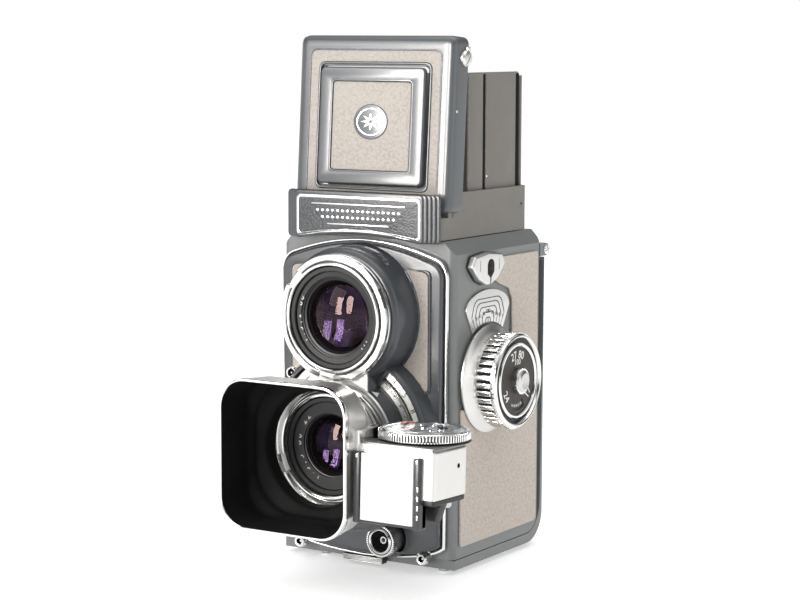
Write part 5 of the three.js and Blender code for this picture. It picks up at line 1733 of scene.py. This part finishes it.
def hood_leaves():
    for side, sign in SIDES.items():
        for place_name in ("front", "rear"):
            node = f"hood_leaf_{side}_{place_name}"
            box = local(node)
            leaf = Piece(f"leaf_{side}_{place_name}", node, "hood_paint")
            a0, a1 = sorted((sign * box.low[1], sign * box.high[1]))
            thick = box.size[0]
            place = seat(side, box.high[0] if sign > 0 else box.low[0])
            outline = rectangle(a0, a1, box.low[2], box.high[2], 0.9)
            leaf.slab("hood_paint", place, outline, -thick, 0, edge=0.16)
            roll = rectangle(a0 + 0.02, a1 - 0.02, box.high[2] - 0.9, box.high[2] - 0.02, 0.4)
            leaf.slab("hood_paint", place, roll, -thick - 0.25, -thick + 0.2, edge=0.1)
            bead = block(a0 + 0.3, a0 + 0.9, box.low[2] + 9, box.high[2] - 1, -0.15, 0.14, edge=0.12)
            leaf.add("hood_paint", place, bead)
            if place_name == "rear":
                edge_a = a0 + 0.9 if sign > 0 else a1 - 0.9
                rivet = lathe([(0, -0.2), (0.5, -0.2), (0.45, 0.15), (0.25, 0.3), (0, 0.32)], segments=20)
                leaf.add("chrome", place @ moved(edge_a, 122.5, 0), rivet)
            # Painted shadow: a black strip along the leaf's far edge, in the gap where the next leaf casts its
            # shadow; it is wider on the rear leaves.
            far = a1 if sign > 0 else a0
            wide = (0.9, 0.6) if place_name == "front" else (1.9, 0.15)
            ends = sorted((far - sign * wide[0], far + sign * wide[1]))
            gap = block(*ends, box.low[2] + 9, box.high[2] - 0.6, -thick + 0.05, 0.05, edge=0.02)
            leaf.add("matt_black", place, gap)
            leaf.place()
    box = local("hood_rear_panel")
    panel = Piece("leaf_back", "hood_rear_panel", "hood_paint")
    outline = rectangle(-box.high[0], -box.low[0], box.low[2], box.high[2], 1.0)
    place = seat("back", 0, box.high[1])
    panel.slab("hood_paint", place, outline, -box.size[1], 0, edge=0.16)
    for sign in (1, -1):
        ends = sorted((sign * 25.3, sign * 26.6))
        panel.block("hood_paint", place, *ends, box.low[2] + 6, box.high[2] - 0.4, -box.size[1], 0.3, edge=0.2)
    emboss = rectangle(-12, 12, box.low[2] + 12, box.high[2] - 8, 2)
    field = [rectangle(-11.4, 11.4, box.low[2] + 12.6, box.high[2] - 8.6, 1.6)]
    panel.slab("hood_paint", place, emboss, -0.2, 0.12, field, edge=0.08)
    panel.place()


# ---------------------------------------------------------------- door, feet, latch

def back_door():
    door = Piece("back_door_look", "back_cover", "body_paint")
    door.add("body_paint", Matrix.Identity(4), node_solid("back_cover"))
    door.place(even=True)
    bush = local("tripod_bush")
    place = seat("bottom", bush.mid[0], bush.mid[1], 0)
    socket = Piece("tripod_socket_look", "tripod_bush", "steel")
    inner, outer, proud = 4.75, bush.size[0] / 2, -bush.low[2]
    thread = []
    for turn in range(5):
        depth = proud - 0.5 - turn * 0.7
        thread += [(inner, depth), (inner + 0.3, depth - 0.35)]
    profile = [
        (inner + 0.4, proud), (outer - 0.5, proud), (outer, proud - 0.4), (outer, -2.7), (inner, -2.7),
    ] + thread[::-1] + [(inner, proud - 0.3)]
    slots = [block(-0.7, 0.7, b - 0.8, b + 0.8, proud - 0.4, proud + 1, edge=0.02) for b in (-7.2, 7.2)]
    socket.add("steel", place, carved(lathe(profile), *slots))
    socket.place()
    for corner in ("front_left", "front_right", "back_left", "back_right"):
        box = local(f"foot_{corner}")
        r, drop = box.size[0] / 2, -box.low[2]
        foot = Piece(f"foot_look_{corner}", f"foot_{corner}", "chrome")
        profile = [
            (0, 0.25), (r - 0.35, 0.25), (r - 0.35, drop - 0.9), (r, drop - 0.75), (r, drop - 0.3),
            (r - 0.4, drop), (0, drop),
        ]
        foot.lathe("chrome", seat("bottom", box.mid[0], box.mid[1], 0), profile, 40).place()


def latch():
    box = local("back_latch")
    place = seat("front")
    face = -box.low[1]
    lever = Piece("latch_look", "back_latch", "chrome")
    low, high = box.low[2], box.high[2]
    half = box.high[0]
    # Painted shade: the lever's black base shows only in the gaps between its ribs, for the shade there.
    lever.block("black_metal", place, -half, half, low, high, -box.high[1], face - 0.45, edge=0.15)
    count = 5
    pitch = (high - low) / count
    for number in range(count):
        foot, crest = low + pitch * number + 0.08, low + pitch * (number + 0.7)
        rib = block(-half + 0.1, half - 0.1, foot, crest, face - 0.7, face, edge=0.12)
        lever.add("satin_metal", place, rib)
    lever.place()


# ---------------------------------------------------------------- pieces that the camera's walls hide

INSIDE = {
    "film_gate": "black_metal", "take_up_spool": "black_metal", "supply_spool": "black_metal",
    "pressure_plate": "black_metal", "film_roller_upper": "steel", "film_roller_lower": "steel",
    "hinge_rod": "chrome", "reflex_mirror": "mirror_glass", "focusing_screen": "screen_glass",
}


def inside():
    for node, finish in INSIDE.items():
        mesh = frame["nodes"][node].data
        mesh.materials.clear()
        mesh.materials.append(FINISHES[finish].material)


# ---------------------------------------------------------------- assembly

body_casting()
side_covers()
strap_lugs()
depth_scale_plate()
focusing_knob()
wind_and_supply_knobs()
front_plate()
front_trim()
studs_socket_and_release()
lens_rings()
optics()
setting_rings()
shutter_case()
lens_hood()
exposure_meter()
meter_dial()
nameplate()
hood_base()
lid_frame()
finder_flap()
loupe()
hood_leaves()
back_door()
latch()
inside()
